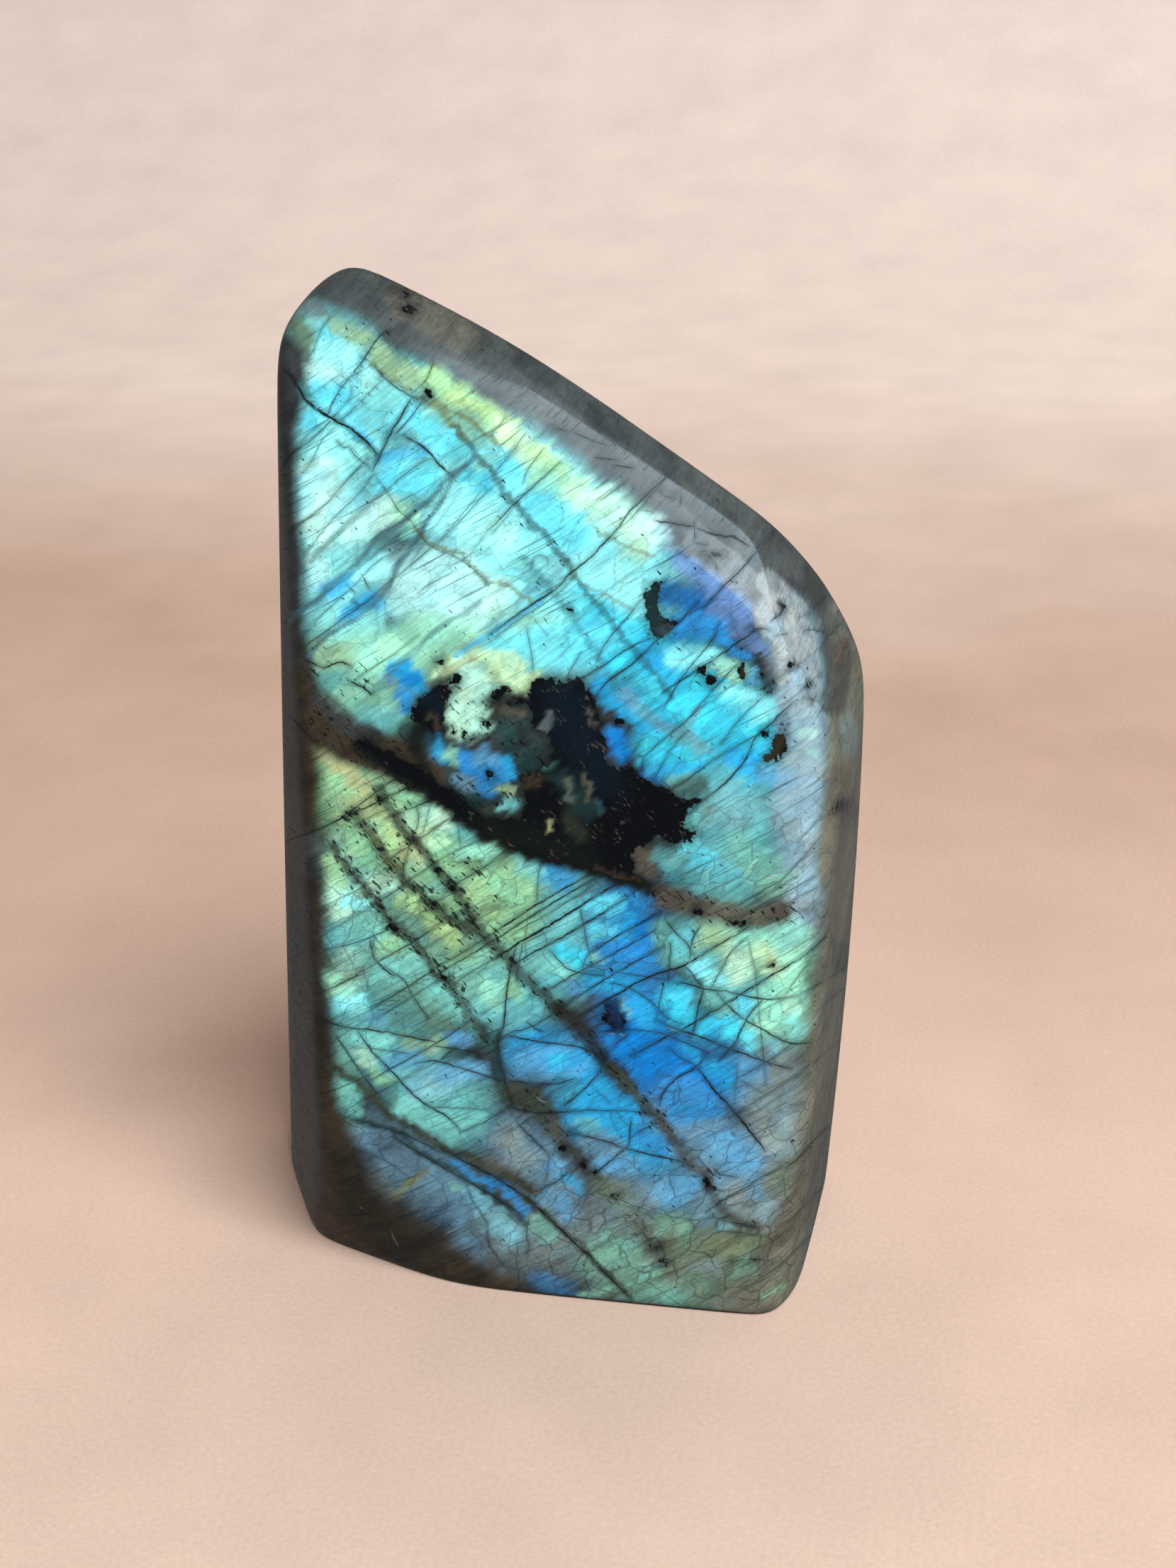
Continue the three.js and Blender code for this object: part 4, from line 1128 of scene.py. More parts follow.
        (2, 0.6, [(1042, 1522), (1078, 1544)]),
        (3, 0.6, [(1054, 1322), (1066, 1374), (1071, 1430), (1078, 1500), (1080, 1530)]),
        (3, 0.6, [(1142, 1358), (1118, 1388), (1106, 1408)]),
        (4, 0.9, [(720, 1462), (770, 1471), (810, 1475), (835, 1485), (852, 1498)]),
        (5, 0.8, [(852, 1500), (835, 1525), (812, 1547), (795, 1560)]),
        (4, 0.8, [(720, 1525), (770, 1530), (810, 1522)]),
        (4, 0.8, [(715, 1561), (760, 1570), (820, 1567), (880, 1567), (918, 1572)]),
        (4, 0.8, [(890, 1578), (888, 1610), (884, 1620)]),
        (3, 0.8, [(896, 1601), (922, 1585)]),
        (4, 0.9, [(800, 1597), (848, 1608), (884, 1621), (920, 1629), (960, 1639), (976, 1646)]),
        (3, 0.7, [(718, 1597), (735, 1587), (750, 1575)]),
        (4, 0.8, [(730, 1585), (750, 1605), (772, 1626)]),
        (2, 0.6, [(840, 1537), (860, 1555)]),
        (4, 0.9, [(886, 1616), (868, 1632), (840, 1656)]),
        (4, 0.9, [(745, 1443), (753, 1449), (765, 1455)]),
        (3, 0.7, [(1010, 1654), (1020, 1658), (1038, 1660)]),
        (4, 0.9, [(1032, 1724), (1048, 1728), (1068, 1730)]),
        (3, 0.7, [(1028, 1715), (1012, 1722), (1012, 1736)]),
        (3, 0.7, [(1018, 1738), (1042, 1738), (1074, 1744)]),
        (3, 0.5, [(988, 1690), (956, 1704), (920, 1722)]),
        (3, 0.5, [(920, 1704), (935, 1714), (975, 1722), (978, 1738)]),
        (3, 0.5, [(880, 1700), (910, 1712), (925, 1722)]),
    ],
}

# Fractures whose sides catch the light yellow-green, some olive of their own and some a painted
# highlight; and bright scratches and flecks, partly pale marks and partly painted glints.
goldenLines = [
    (4, 0.8, [(600, 970), (630, 955), (650, 940), (680, 925)]),
    (4, 0.8, [(975, 1180), (992, 1190), (1015, 1202), (1033, 1221)]),
    (4, 0.8, [(1040, 1218), (1068, 1230), (1100, 1240)]),
    (4, 0.7, [(974, 1338), (1000, 1363), (1038, 1382)]),
    (6, 0.6, [(560, 1680), (590, 1660), (615, 1650)]),
    (6, 0.6, [(636, 1682), (650, 1676)]),
    (5, 0.6, [(648, 1700), (660, 1712), (668, 1722)]),
    (4, 0.7, [(1046, 1490), (1062, 1492)]),
    # The next two are painted glints on the rim.
    (6, 0.8, [(1074, 1829), (1086, 1824)]),
    (5, 0.6, [(1086, 1823), (1118, 1806)]),
    (4, 0.8, [(776, 1160), (778, 1174)]),
    (4, 0.6, [(825, 1110), (825, 1150)]),
    (4, 0.7, [(992, 858), (998, 861)]),
    (4, 0.5, [(700, 1745), (705, 1775)]),
]

brightLines = [
    # The first three are painted glints along the ridge.
    (3, 0.8, [(876, 688), (876, 693)]),
    (3, 0.8, [(880, 709), (890, 713)]),
    (3, 0.7, [(784, 629), (787, 632)]),
    (3, 0.8, [(903, 1150), (904, 1153)]),
    (3, 0.8, [(929, 1152), (932, 1155)]),
    (3, 0.7, [(836, 1022), (837, 1026)]),
    (3, 0.7, [(764, 1138), (767, 1141)]),
    (3, 0.7, [(888, 1130), (890, 1133)]),
    (8, 0.7, [(1126, 1102), (1131, 1105)]),
    # The next four are painted glints on crack edges.
    (2, 0.8, [(756, 1546), (764, 1554), (770, 1554)]),
    (4, 0.9, [(860, 1458), (866, 1458)]),
    (4, 0.9, [(874, 1460), (879, 1459)]),
    (5, 0.8, [(944, 1451), (954, 1454)]),
    (4, 0.7, [(1040, 1470), (1043, 1480)]),
    (3, 0.8, [(452, 1312), (454, 1315)]),
    (3, 0.9, [(657, 1584), (659, 1587)]),
    (3, 0.8, [(666, 1607), (668, 1609)]),
    (3, 0.7, [(1166, 1351), (1174, 1340)]),
    (3, 0.7, [(1181, 1312), (1183, 1318)]),
    (3, 0.9, [(1160, 1402), (1162, 1410)]),
    (3, 0.8, [(1152, 1408), (1153, 1412)]),
    (3, 0.8, [(1137, 1413), (1138, 1416)]),
    (3, 0.9, [(1134, 1453), (1135, 1456)]),
    (3, 0.9, [(1149, 1468), (1150, 1470)]),
    (3, 0.9, [(1146, 1507), (1147, 1510)]),
    (3, 0.6, [(1174, 1506), (1182, 1505)]),
    (4, 0.9, [(1000, 1645), (1006, 1652)]),
    (3, 0.7, [(1002, 1672), (1008, 1671)]),
    (3, 0.8, [(995, 1604), (997, 1606)]),
    (3, 0.8, [(992, 1632), (994, 1634)]),
    (3, 0.8, [(1028, 1587), (1029, 1589)]),
    (3, 0.8, [(842, 1785), (847, 1782)]),
    (3, 0.8, [(976, 1761), (980, 1763)]),
    (3, 0.7, [(786, 1720), (800, 1712)]),
    (3, 0.6, [(688, 1713), (702, 1706)]),
    (3, 0.7, [(751, 1684), (758, 1682)]),
    (3, 0.7, [(592, 1712), (590, 1716)]),
    (3, 0.6, [(552, 1736), (556, 1748), (562, 1758)]),
    (2, 0.6, [(506, 1700), (512, 1706)]),
    (3, 0.6, [(630, 1739), (644, 1734)]),
    (4, 0.9, [(1090, 1824), (1094, 1822)]),
    (3, 0.7, [(1086, 1622), (1090, 1628)]),
    (3, 0.6, [(1108, 1628), (1110, 1634)]),
    (2, 0.6, [(524, 1650), (530, 1654)]),
    (2, 0.7, [(546, 1664), (548, 1668)]),
    (2, 0.6, [(780, 1640), (786, 1634)]),
    (2, 0.6, [(800, 1655), (812, 1646)]),
    (3, 0.6, [(950, 1002), (958, 998)]),
]
print("fractures traced")

# What the black minerals show inside their outlines, as strokes on a black ground.
mineralTones = [
    ("inkNavy", 60, 0.8, [(790, 985), (815, 1040), (850, 1090)]),
    ("pewter", 9, 0.6, [(772, 1012), (764, 1040)]),
    ("ash", 9, 0.5, [(832, 1006), (838, 1024)]),
    ("inkTeal", 24, 0.8, [(790, 1100), (812, 1125), (828, 1142)]),
    ("greyGreen", 9, 0.5, [(800, 1104), (806, 1128)]),
    ("ash", 8, 0.6, [(824, 1098), (830, 1124)]),
    ("dusk", 9, 0.5, [(838, 1130), (848, 1146)]),
    ("seaTeal", 14, 0.4, [(762, 1066), (776, 1076)]),
    ("umber", 15, 0.7, [(740, 1098), (764, 1100)]),
    ("pitch", 9, 0.9, [(768, 1104), (782, 1110)]),
    ("charcoal", 44, 0.7, [(690, 1168), (760, 1190), (820, 1215)]),
    ("darkMoss", 18, 0.6, [(806, 1152), (812, 1178)]),
    ("gold", 7, 0.9, [(777, 1160), (779, 1168)]),
    ("umber", 9, 0.5, [(925, 1250), (880, 1240), (840, 1225)]),
    ("navy", 18, 0.8, [(860, 1420), (870, 1445)]),
    ("inkNavy", 30, 0.8, [(600, 985), (620, 1000)]),
    ("clay", 12, 0.5, [(605, 1015), (615, 1028)]),
    ("inkTeal", 30, 0.7, [(920, 840), (925, 880)]),
    ("slate", 12, 0.6, [(938, 884), (946, 890)]),
    ("peat", 12, 0.7, [(1048, 951), (1085, 972)]),
    ("peat", 18, 0.8, [(1080, 1072), (1105, 1040)]),
]

painting = {
    # The share of a stroke's half width over which it fades, and how far it follows the ripple.
    "softness": {"wash": 0.95, "patch": 0.75, "rim": 0.5, "flank": 0.25, "band": 0.75, "mineral": 1.0},
    "stray": {"rim": 0.4, "flank": 0.2, "band": 0.6, "mineral": 0.4},
    "bandFray": 0.5,  # how far the bands follow the feather
    "lamellaSlope": 38,  # degrees that the lamellae climb to the right in the photograph
    "feather": {"length": 60, "width": 9, "reach": 10},  # how colours fray along the lamellae
    "ripple": {"size": 48, "reach": 8},  # and how marks stray from their strokes
    "seed": 5,  # without a seed, Blender's vector noise is a new one in every run
    "edgeFade": (0.02, 0.10),  # cosines between which the traced markings fade at the outline
    "lineWeight": 0.29,  # half of a line's width, and a little less for the blur round it
    "lineTaper": (0.35, 4),  # its width at its ends, and how steeply it grows from there
    "lineReach": 8.0,  # pixels round a line over which its distance is kept
    "lineGap": 13.0,  # lines nearer than this to each other are kept on separate sheets
    "sheetCount": 9,
    "shapeReach": 18.0,  # pixels round the minerals over which their distance is kept
    "pathStep": 5.0,  # pixels between the points of a traced line, and of a stroke
    "strokeStep": 20.0,
}


def linearTone(name):
    tone = np.array(palette[name]) / 255
    return np.where(tone < 0.04045, tone / 12.92, ((tone + 0.055) / 1.055) ** 2.4)


def fadeBetween(value, low, high):
    share = np.clip((value - low) / (high - low), 0, 1)
    return share * share * (3 - 2 * share)


def photoPlaces(points):
    # Where points of the stone, in mm, fall in the photograph, in its pixels.
    place, right, up, back = (np.array(axis) for axis in cameraAxes())
    focal = camera["lens"] / camera["sensor"] * photo["height"]
    offset = points - place
    depth = -offset @ back
    across = photo["width"] / 2 + focal * (offset @ right) / depth
    down = photo["height"] / 2 - focal * (offset @ up) / depth
    return np.stack((across, down), 1)


def lamellaAxes():
    slope = math.radians(painting["lamellaSlope"])
    along = np.array((math.cos(slope), -math.sin(slope)))
    across = np.array((math.sin(slope), math.cos(slope)))
    return along, across


def drift(places, length, width):
    # A smooth random push for each place, which changes slowly along the lamellae.
    along, across = lamellaAxes()
    spots = np.stack((places @ along / length, places @ across / width), 1)
    octaves = 3
    return np.array([noise.turbulence_vector((u, w, 0.5), octaves, False)[:2] for u, w in spots])


def smoothPath(path, step):
    # A path through its points on a Catmull-Rom curve, with a point about every step pixels.
    knots = np.array([path[0], *path, path[-1]], dtype=float)
    route = [knots[1]]
    for before, start, end, after in zip(knots, knots[1:], knots[2:], knots[3:]):
        pieces = max(1, int(np.linalg.norm(end - start) / step))
        for piece in range(1, pieces + 1):
            t = piece / pieces
            bend = (2 * start + (end - before) * t + (2 * before - 5 * start + 4 * end - after) * t**2
                    + (3 * start - before - 3 * end + after) * t**3) / 2
            route.append(bend)
    return np.array(route)


def nearestOnPath(places, route):
    # Each place's distance from a route, its side of it, and how far along the nearest point is.
    if len(route) == 1:
        route = np.vstack((route, route + 0.01))
    best = np.full(len(places), 1e9)
    side = np.ones(len(places))
    along = np.zeros(len(places))
    for number, (start, end) in enumerate(zip(route, route[1:])):
        leg = end - start
        offset = places - start
        share = np.clip(offset @ leg / max(leg @ leg, 1e-9), 0, 1)
        gap = np.linalg.norm(offset - share[:, None] * leg, axis=1)
        nearer = gap < best
        turn = leg[0] * offset[:, 1] - leg[1] * offset[:, 0]
        best = np.where(nearer, gap, best)
        side = np.where(nearer, np.sign(turn), side)
        along = np.where(nearer, (number + share) / (len(route) - 1), along)
    return best, side, along


def nearPath(places, route, reach):
    low = route.min(0) - reach
    high = route.max(0) + reach
    return np.nonzero(((places > low) & (places < high)).all(1))[0]


def strokeCover(places, halfWidth, strength, path, softness):
    # The places that a brush stroke reaches, and how strongly it covers each.
    route = smoothPath(path, painting["strokeStep"])
    near = nearPath(places, route, halfWidth)
    gap = nearestOnPath(places[near], route)[0]
    return near, strength * (1 - fadeBetween(gap, halfWidth * (1 - softness), halfWidth))


def layStrokes(colours, places, strokes, softness):
    for tone, halfWidth, strength, path in strokes:
        near, cover = strokeCover(places, halfWidth, strength, path, softness)
        colours[near] += (linearTone(tone) - colours[near]) * cover[:, None]


def layShare(places, strokes, softness):
    # How strongly strokes cover each place, without a tone.
    share = np.zeros(len(places))
    for halfWidth, strength, path in strokes:
        near, cover = strokeCover(places, halfWidth, strength, path, softness)
        share[near] = np.maximum(share[near], cover)
    return share


def shapeDistances(places):
    # How far each place lies from the mineral outlines, negative inside them.
    reach = painting["shapeReach"]
    result = np.full(len(places), reach)
    for outline in inclusions:
        corners = np.array([*outline, outline[0]], dtype=float)
        near = nearPath(places, corners, reach)
        spots = places[near]
        gap = nearestOnPath(spots, corners)[0]
        crossings = np.zeros(len(spots), dtype=int)
        for (x0, y0), (x1, y1) in zip(corners, corners[1:]):
            straddles = (y0 > spots[:, 1]) != (y1 > spots[:, 1])
            level = x0 + (spots[:, 1] - y0) * (x1 - x0) / (y1 - y0 + 1e-9)
            crossings += straddles & (spots[:, 0] < level)
        result[near] = np.minimum(result[near], np.where(crossings % 2 == 1, -gap, gap))
    for x, y, halfWidth, halfHeight in grains:
        centre = np.array([[x, y]], dtype=float)
        near = nearPath(places, centre, reach + max(halfWidth, halfHeight))
        offset = (places[near] - centre) / (halfWidth, halfHeight)
        gap = (np.linalg.norm(offset, axis=1) - 1) * min(halfWidth, halfHeight)
        result[near] = np.minimum(result[near], gap)
    return result


def sortLines(lines):
    # Deals the lines out to sheets, so that no two on one sheet touch or run side by side.
    sheets = [[] for _ in range(painting["sheetCount"])]
    for width, strength, path in sorted(lines, key=lambda line: -line[0] * line[1]):
        route = smoothPath(path, painting["pathStep"])
        gaps = []
        for sheet in sheets:
            others = [other for _, _, other in sheet]
            gap = min((nearestOnPath(other, route)[0].min() for other in others), default=1e9)
            gaps.append(gap)
        clear = [number for number, gap in enumerate(gaps) if gap > painting["lineGap"]]
        chosen = clear[0] if clear else int(np.argmax(gaps))
        sheets[chosen].append((width, strength, route))
    return sheets


def drawSheet(places, lines):
    # For the shader: distance in half widths, signed; distance over the reach; and strength.
    reach = painting["lineReach"]
    tip, growth = painting["lineTaper"]
    noLine = np.array([9.0, 1.0, 0.0])
    sheet = np.tile(noLine, (len(places), 1))
    for width, strength, route in lines:
        near = nearPath(places, route, reach)
        gap, side, along = nearestOnPath(places[near], route)
        taper = np.clip(growth * np.minimum(along, 1 - along) + tip, 0, 1)
        here = gap / reach < sheet[near, 1]
        spots = near[here]
        sheet[spots, 0] = (side * gap / (width * painting["lineWeight"] * taper))[here]
        sheet[spots, 1] = (gap / reach)[here]
        sheet[spots, 2] = strength
    return sheet


def storeOnPoints(mesh, name, kind, values):
    field = {"FLOAT": "value", "FLOAT_VECTOR": "vector", "FLOAT_COLOR": "color"}[kind]
    layer = mesh.attributes.new(name, kind, "POINT")
    layer.data.foreach_set(field, np.ascontiguousarray(values, dtype=np.float32).ravel())


def paintStone(mesh, points):
    toEye = np.array(cameraAxes()[0]) - points
    facing = (pointValues(mesh, "normal") * toEye).sum(1) / np.linalg.norm(toEye, axis=1)
    seen = fadeBetween(facing, *painting["edgeFade"])
    # Points that face away are put outside the picture, where no mark reaches.
    places = np.where((facing > 0)[:, None], photoPlaces(points), -1000)
    noise.seed_set(painting["seed"])
    ripple = painting["ripple"]
    feather = painting["feather"]
    strayed = drift(places, ripple["size"], ripple["size"]) * ripple["reach"]
    frayed = drift(places, feather["length"], feather["width"])[:, :1] * feather["reach"]
    frayed = frayed * lamellaAxes()[0]
    stray = painting["stray"]
    softness = painting["softness"]
    loose = places + strayed
    layers = (
        ("wash", flashWashes, loose + frayed),
        ("patch", flashPatches, loose + frayed),
        ("rim", rims, places + stray["rim"] * strayed),
        ("flank", flankEdges, places + stray["flank"] * strayed),
        ("band", bands, places + stray["band"] * strayed + painting["bandFray"] * frayed),
    )
    colours = np.zeros((len(points), 3))
    for kind, strokes, spots in layers:
        layStrokes(colours, spots, strokes, softness[kind])
    mineral = np.tile(linearTone("pitch"), (len(points), 1))
    layStrokes(mineral, loose + frayed, mineralTones, softness["mineral"])
    alpha = np.ones((len(points), 1))
    storeOnPoints(mesh, "stoneTone", "FLOAT_COLOR", np.hstack((colours, alpha)))
    storeOnPoints(mesh, "mineralTone", "FLOAT_COLOR", np.hstack((mineral, alpha)))
    storeOnPoints(mesh, "traced", "FLOAT", seen)
    storeOnPoints(mesh, "splinters", "FLOAT", layShare(loose, splintered, softness["band"]))
    shapes = shapeDistances(places + stray["mineral"] * strayed)
    storeOnPoints(mesh, "mineralEdge", "FLOAT", shapes / painting["shapeReach"])
    everyFracture = [line for group in fractures.values() for line in group]
    sheets = sortLines(everyFracture)
    for number, lines in enumerate(sheets):
        storeOnPoints(mesh, f"fractures{number}", "FLOAT_VECTOR", drawSheet(places, lines))
    step = painting["pathStep"]
    for name, group in (("goldenLines", goldenLines), ("brightLines", brightLines)):
        lines = [(width, strength, smoothPath(path, step)) for width, strength, path in group]
        storeOnPoints(mesh, name, "FLOAT_VECTOR", drawSheet(places, lines))
    print("lines on each sheet:", [len(lines) for lines in sheets])


paintStone(stoneMesh, stonePoints)
print("stone painted")

# The finish: polished feldspar, with fine lamellae, crazing and grain that the shader adds. Each
# size is in metres: along the lamellae, into the stone, and across them. Each scale counts patches
# to a metre.
polish = {
    "ior": 1.55,
    "specular": 0.5,
    "brightness": 1.20,  # of the traced colours, against the dark lines drawn over them
    "lamellaTilt": (0.0, -0.66, 0.12),  # how the lamellae lie, as a rotation in radians
    "hatchTilt": (0.0, -0.52, 0.0),  # and the long parallel fractures
    "splinterTilt": (0.0, 0.80, 0.0),  # and the splinters in the dark bands
    "bodySize": (0.045, 0.018, 0.005),
    "streakSize": (0.009, 0.004, 0.00035),
    "plateSize": (0.0044, 0.0040, 0.0022),
    "plateDepth": 0.16,
    "plateTints": ((0.80, 0.98, 1.06, 1), (1.06, 1.02, 0.92, 1)),
    "tintShare": 0.8,
    "chipSize": (0.0017, 0.0016, 0.0009),
    "chipDepth": 0.10,
    "crazeDepth": 0.58,
    "hairSize": (0.0110, 0.0050, 0.00018),
    "splinterSize": (0.0012, 0.0012, 0.00042),
    "gritSize": (0.0009, 0.0009, 0.00022),
    "gleamScale": 38.0,
    "waveScale": 60.0,
    "bendScale": 240.0,
    "bendReach": 0.0024,  # metres by which the crazing's cells are bent
    "cloudScale": 420.0,
    "raggedScale": 700.0,
    "trembleScale": 900.0,
    "speckScale": 2400.0,
    "splinterRoom": 0.13,  # how much more the splinters spread in the dark bands
    "fractureRoughness": 0.5,
    "fractureRelief": -0.12,
    "waveStrength": 0.06,
    "waveDepth": 0.0006,
    "paleLineShare": 0.4,
    "fractureTone": (0.007, 0.014, 0.014),
    "splinterTone": (0.004, 0.006, 0.006),
    "goldenTone": (0.22, 0.22, 0.10),
    "brightTone": (0.50, 0.60, 0.58),
    "gritTone": (0.16, 0.14, 0.10),
    "smokyTones": {  # the body's tone at three levels of its noise
        0.36: (0.022, 0.026, 0.022),
        0.52: (0.040, 0.033, 0.024),
        0.66: (0.070, 0.068, 0.050),
    },
    "hiddenFlash": (0.04, 0.16, 0.20),
}

# What the shader makes of a noise or a distance: from low and high, to the two numbers after them.
spans = {
    "lineCore": (0.5, 1.6, 1.0, 0.0),
    "lineClose": (0.62, 0.76, 1.0, 0.0),
    "lineHalo": (0.1, 1.0, 1.0, 0.0),
    "haloShade": (0.0, 1.0, 1.0, 0.66),
    "lineShake": (0.3, 0.7, -0.9, 0.9),
    "lineFade": (0.36, 0.56, 0.55, 1.0),
    "hiddenFlash": (0.52, 0.72, 0.0, 0.6),
    "bodyMottle": (0.36, 0.64, 0.65, 1.4),
    "glow": (0.04, 0.26, 0.0, 1.0),
    "plateLine": (0.0, 0.045, 1.0, 0.0),
    "chipLine": (0.0, 0.05, 0.6, 0.0),
    "crazeHeight": (0.045, 0.075, 1.0, 0.45),  # metres up the stone
    "crazePatches": (0.36, 0.62, 0.4, 1.0),
    "hairs": (0.60, 0.68, 0.0, 0.60),
    "specks": (0.71, 0.77, 0.0, 0.6),
    "streaks": (0.35, 0.65, 0.88, 1.12),
    "clouds": (0.3, 0.7, 0.86, 1.14),
    "splinters": (0.665, 0.72, 0.0, 0.9),
    "mineralFray": (0.25, 0.75, -0.5, 0.5),
    "mineralBorder": (0.0, 0.7, 0.55, 1.0),
    "mineral": (-0.10, 0.04, 1.0, 0.0),
    "gritPatches": (0.4, 0.62, 0.8, 1.1),
    "grit": (0.60, 0.74, 0.0, 0.6),
    "gloss": (0.3, 0.7, 0.056, 0.091),  # the roughness of the polish, in patches
}


def sheetGroup():
    # Turns one sheet of stored distances into lines, 1 on a line and 0 off it, with a faint halo.
    group = bpy.data.node_groups.new("lineSheet", "ShaderNodeTree")
    for name, kind in (("Sheet", "NodeSocketVector"), ("Tremble", "NodeSocketFloat")):
        group.interface.new_socket(name=name, in_out="INPUT", socket_type=kind)
    for name in ("Line", "Halo"):
        group.interface.new_socket(name=name, in_out="OUTPUT", socket_type="NodeSocketFloat")
    recipe = Recipe(group)
    entry = recipe.add("NodeGroupInput")
    parts = recipe.add("ShaderNodeSeparateXYZ", None, i0=entry.outputs["Sheet"])
    apart = recipe.math("ABSOLUTE", recipe.math("ADD", parts.outputs[0], entry.outputs["Tremble"]))
    core = recipe.span(apart, *spans["lineCore"])
    close = recipe.span(parts.outputs[1], *spans["lineClose"])
    line = recipe.math("MULTIPLY", recipe.math("MULTIPLY", core, close), parts.outputs[2])
    halo = recipe.span(parts.outputs[1], *spans["lineHalo"])
    halo = recipe.math("MULTIPLY", halo, parts.outputs[2])
    leave = recipe.add("NodeGroupOutput")
    recipe.feed(leave.inputs["Line"], line)
    recipe.feed(leave.inputs["Halo"], halo)
    return group


def smokyBody(recipe, place, gleam):
    # The grey-brown body, which is all that shows on the sides that the photograph doesn't.
    body = recipe.noise(recipe.laid(place, polish["lamellaTilt"], polish["bodySize"]), detail=6.0)
    ramp = recipe.add("ShaderNodeValToRGB", None, Fac=body.outputs["Fac"])
    (first, dark), (middle, brown), (last, pale) = polish["smokyTones"].items()
    ramp.color_ramp.elements[0].position = first
    ramp.color_ramp.elements[0].color = (*dark, 1)
    ramp.color_ramp.elements[1].position = last
    ramp.color_ramp.elements[1].color = (*pale, 1)
    ramp.color_ramp.elements.new(middle).color = (*brown, 1)
    share = recipe.span(gleam, *spans["hiddenFlash"])
    smoky = recipe.blend(share, ramp.outputs["Color"], (*polish["hiddenFlash"], 1))
    mottle = recipe.span(body.outputs["Fac"], *spans["bodyMottle"])
    return smoky, mottle


def crazedTone(recipe, place, tone, glow):
    # Crazed plates and smaller chips, each a little lighter, darker, bluer or greener.
    bent = recipe.noise(place, polish["bendScale"], 3.0).outputs["Color"]
    vector = "ShaderNodeVectorMath"
    centred = recipe.add(vector, {"operation": "SUBTRACT"}, i0=bent, i1=(0.5, 0.5, 0.5)).outputs[0]
    reach = (polish["bendReach"],) * 3
    moved = recipe.add(vector, {"operation": "MULTIPLY_ADD"}, i0=centred, i1=reach, i2=place).outputs[0]
    plate, plateEdge = recipe.plates(moved, polish["lamellaTilt"], polish["plateSize"])
    chip, chipEdge = recipe.plates(moved, polish["hatchTilt"], polish["chipSize"])
    plateShade = recipe.span(plate[0], 0, 1, -polish["plateDepth"], polish["plateDepth"], False)
    chipShade = recipe.span(chip[0], 0, 1, -polish["chipDepth"], polish["chipDepth"], False)
    lighter = recipe.math("MULTIPLY", recipe.math("ADD", plateShade, chipShade), glow)
    tint = recipe.blend(plate[1], *polish["plateTints"])
    tone = recipe.blend(recipe.math("MULTIPLY", glow, polish["tintShare"]), tone, tint, "MULTIPLY")
    plateLine = recipe.span(plateEdge, *spans["plateLine"])
    chipLine = recipe.span(chipEdge, *spans["chipLine"])
    return tone, lighter, recipe.math("MAXIMUM", plateLine, chipLine)


def streakShade(recipe, place, cloudShade, lighter, glow, mottle):
    # Long fine streaks that run with the lamellae, over a soft mottle.
    streak = recipe.noise(recipe.laid(place, polish["lamellaTilt"], polish["streakSize"]), detail=4.0)
    fine = recipe.span(streak.outputs["Fac"], *spans["streaks"])
    shade = recipe.math("MULTIPLY", fine, cloudShade)
    shade = recipe.math("MULTIPLY", shade, recipe.math("ADD", lighter, polish["brightness"]))
    return recipe.math("MULTIPLY", shade, recipe.span(glow, 0, 1, mottle, 1.0, False))


def hairlines(recipe, place, gleam, crazeLine):
    # The crazing's dark hairlines, and longer hairs that run with the parallel fractures.
    height = recipe.add("ShaderNodeSeparateXYZ", None, i0=place).outputs[2]
    low = recipe.span(height, *spans["crazeHeight"])
    patchy = recipe.math("MULTIPLY", recipe.span(gleam, *spans["crazePatches"]), low)
    craze = recipe.math("MULTIPLY", crazeLine, patchy)
    craze = recipe.math("MULTIPLY", craze, polish["crazeDepth"])
    hair = recipe.noise(recipe.laid(place, polish["hatchTilt"], polish["hairSize"]), detail=2.0)
    hairLine = recipe.span(hair.outputs["Fac"], *spans["hairs"])
    speck = recipe.noise(place, polish["speckScale"], 1.0)
    speckLine = recipe.span(speck.outputs["Fac"], *spans["specks"])
    return recipe.math("MAXIMUM", recipe.math("MAXIMUM", craze, hairLine), speckLine)


def tracedLines(recipe, place, cloud, tone, fracture):
    # The traced fractures, one sheet after another, then the golden and the bright lines.
    tremble = recipe.noise(place, polish["trembleScale"], 2.0)
    shake = recipe.span(tremble.outputs["Fac"], *spans["lineShake"], False)
    fade = recipe.span(cloud, *spans["lineFade"])
    group = sheetGroup()

    def drawn(name):
        sheet = recipe.add("ShaderNodeGroup", {"node_tree": group}, Tremble=shake)
        recipe.feed(sheet.inputs["Sheet"], recipe.stored(name).outputs["Vector"])
        return sheet.outputs

    traced = 0.0
    halo = 0.0
    for number in range(painting["sheetCount"]):
        sheet = drawn(f"fractures{number}")
        traced = recipe.math("MAXIMUM", traced, sheet["Line"])
        halo = recipe.math("MAXIMUM", halo, sheet["Halo"])
    fracture = recipe.math("MAXIMUM", fracture, recipe.math("MULTIPLY", traced, fade))
    tone = recipe.scaled(tone, recipe.span(halo, *spans["haloShade"]))
    tone = recipe.blend(fracture, tone, (*polish["fractureTone"], 1))
    for kind in ("golden", "bright"):
        weak = recipe.math("MULTIPLY", fade, polish["paleLineShare"])
        faint = recipe.math("MULTIPLY", drawn(kind + "Lines")["Line"], weak)
        tone = recipe.blend(faint, tone, (*polish[kind + "Tone"], 1))
    return tone, fracture


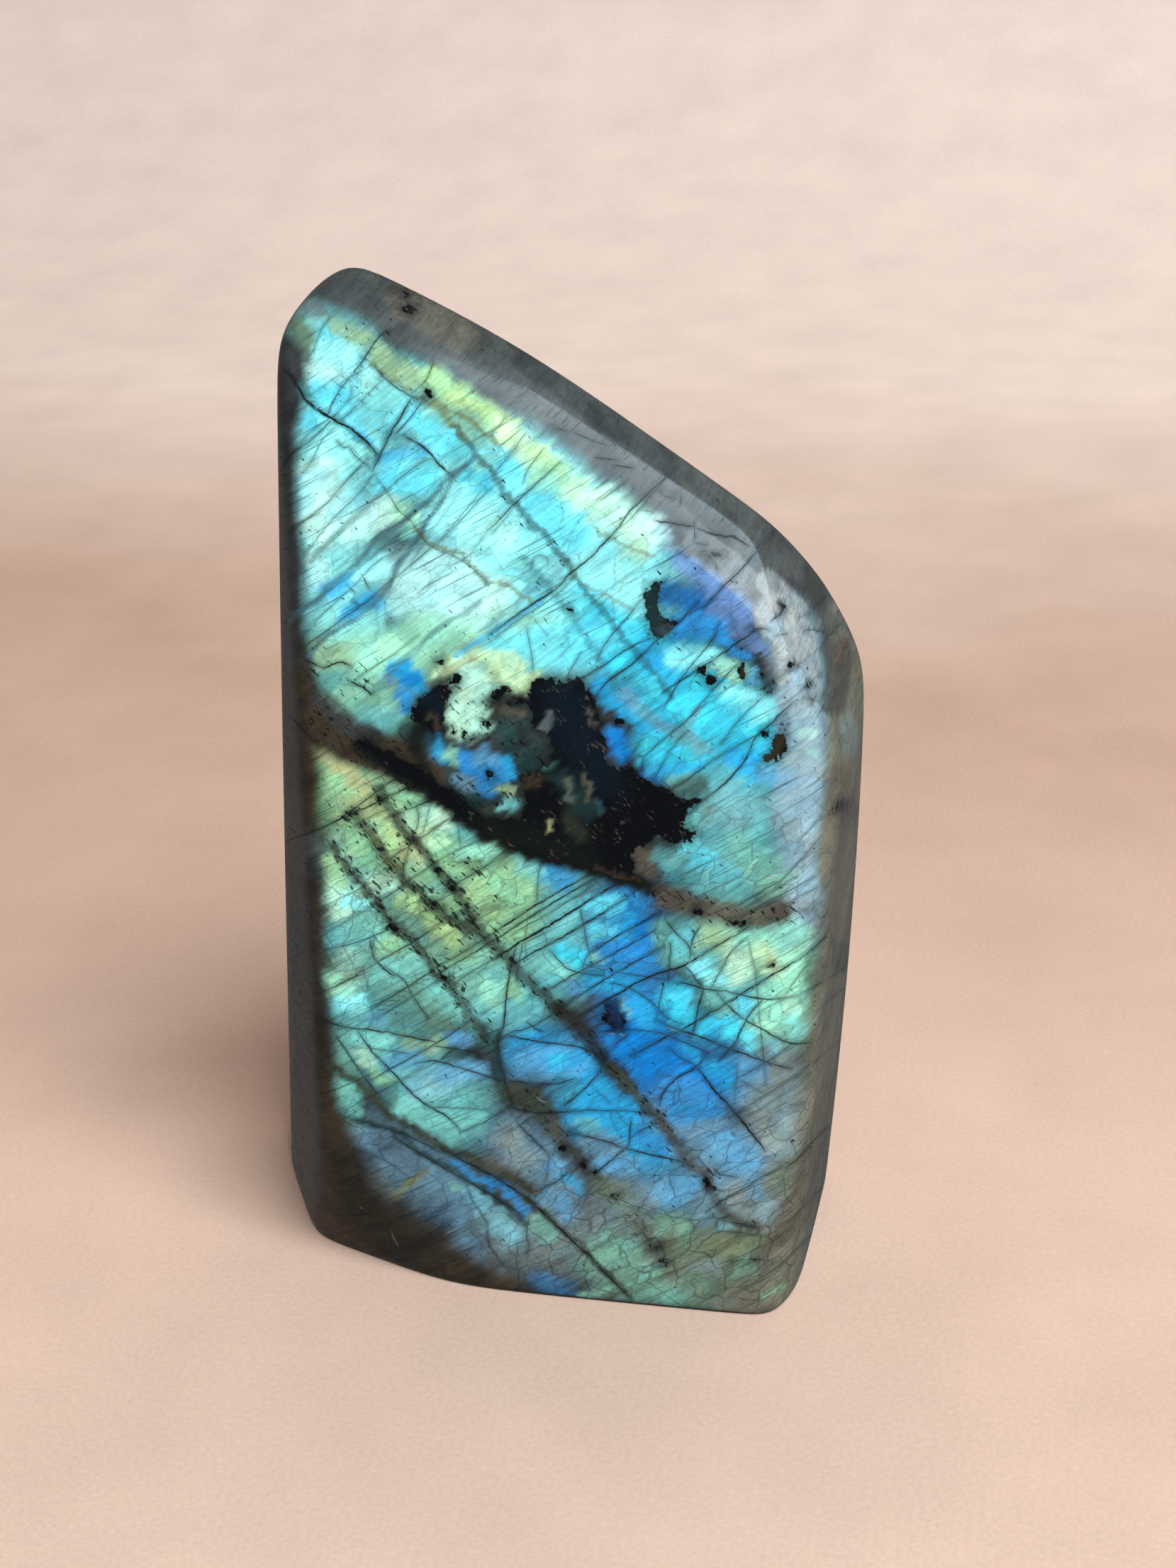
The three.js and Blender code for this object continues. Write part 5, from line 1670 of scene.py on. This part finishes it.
def splinteredTone(recipe, place, tone):
    # Short black splinters in the dark bands.
    spot = recipe.laid(place, polish["splinterTilt"], polish["splinterSize"])
    sliver = recipe.noise(spot, detail=3.0)
    banded = recipe.stored("splinters").outputs["Fac"]
    room = recipe.math("MULTIPLY", banded, polish["splinterRoom"])
    keen = recipe.math("ADD", sliver.outputs["Fac"], room)
    splinter = recipe.span(keen, *spans["splinters"])
    return recipe.blend(splinter, tone, (*polish["splinterTone"], 1))


def mineralTone(recipe, place, tone, ragged, cloud, cloudShade):
    # Black minerals with ragged edges, a dim border and light grit inside.
    fray = recipe.span(ragged, *spans["mineralFray"], False)
    edge = recipe.math("ADD", recipe.stored("mineralEdge").outputs["Fac"], fray)
    tone = recipe.scaled(tone, recipe.span(edge, *spans["mineralBorder"]))
    mineral = recipe.span(edge, *spans["mineral"])
    inside = recipe.scaled(recipe.stored("mineralTone").outputs["Color"], cloudShade)
    flake = recipe.noise(recipe.laid(place, polish["splinterTilt"], polish["gritSize"]), detail=4.0)
    speckled = recipe.span(cloud, *spans["gritPatches"])
    grit = recipe.math("MULTIPLY", flake.outputs["Fac"], speckled)
    gritShare = recipe.span(grit, *spans["grit"])
    inside = recipe.blend(gritShare, inside, (*polish["gritTone"], 1))
    return recipe.blend(mineral, tone, inside)


def labradoriteMaterial():
    material = bpy.data.materials.new("labradorite")
    material.use_nodes = True
    recipe = Recipe(material.node_tree)
    shader = material.node_tree.nodes["Principled BSDF"]
    shader.inputs["IOR"].default_value = polish["ior"]
    shader.inputs["Specular IOR Level"].default_value = polish["specular"]
    place = recipe.add("ShaderNodeTexCoord").outputs["Object"]
    gleam = recipe.noise(place, polish["gleamScale"]).outputs["Fac"]
    cloud = recipe.noise(place, polish["cloudScale"], 5.0, 0.65).outputs["Fac"]
    ragged = recipe.noise(place, polish["raggedScale"], 5.0, 0.7).outputs["Fac"]
    cloudShade = recipe.span(cloud, *spans["clouds"])

    smoky, mottle = smokyBody(recipe, place, gleam)
    painted = recipe.stored("stoneTone").outputs["Color"]
    tone = recipe.blend(recipe.stored("traced").outputs["Fac"], smoky, painted)
    grey = recipe.add("ShaderNodeRGBToBW", None, Color=tone).outputs[0]
    glow = recipe.span(grey, *spans["glow"])
    tone, lighter, crazeLine = crazedTone(recipe, place, tone, glow)
    tone = recipe.scaled(tone, streakShade(recipe, place, cloudShade, lighter, glow, mottle))
    fracture = hairlines(recipe, place, gleam, crazeLine)
    tone, fracture = tracedLines(recipe, place, cloud, tone, fracture)
    tone = splinteredTone(recipe, place, tone)
    tone = mineralTone(recipe, place, tone, ragged, cloud, cloudShade)
    recipe.feed(shader.inputs["Base Color"], tone)

    gloss = recipe.span(ragged, *spans["gloss"])
    dulled = recipe.math("MULTIPLY_ADD", fracture, polish["fractureRoughness"], gloss)
    recipe.feed(shader.inputs["Roughness"], dulled)
    wave = recipe.noise(place, polish["waveScale"], 2.0).outputs["Fac"]
    groove = recipe.math("MULTIPLY", fracture, polish["fractureRelief"])
    relief = recipe.math("ADD", wave, groove)
    bump = recipe.add("ShaderNodeBump", None, Strength=polish["waveStrength"],
                      Distance=polish["waveDepth"], Height=relief)
    recipe.feed(shader.inputs["Normal"], bump.outputs["Normal"])
    return material


def finishStone(mesh):
    piece = bpy.data.objects.new("polishedStone", mesh)
    scene.collection.objects.link(piece)
    mesh.materials.append(labradoriteMaterial())
    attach(piece, "root")
    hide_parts("labradorite_stone")


finishStone(stoneMesh)
print("stone finished")
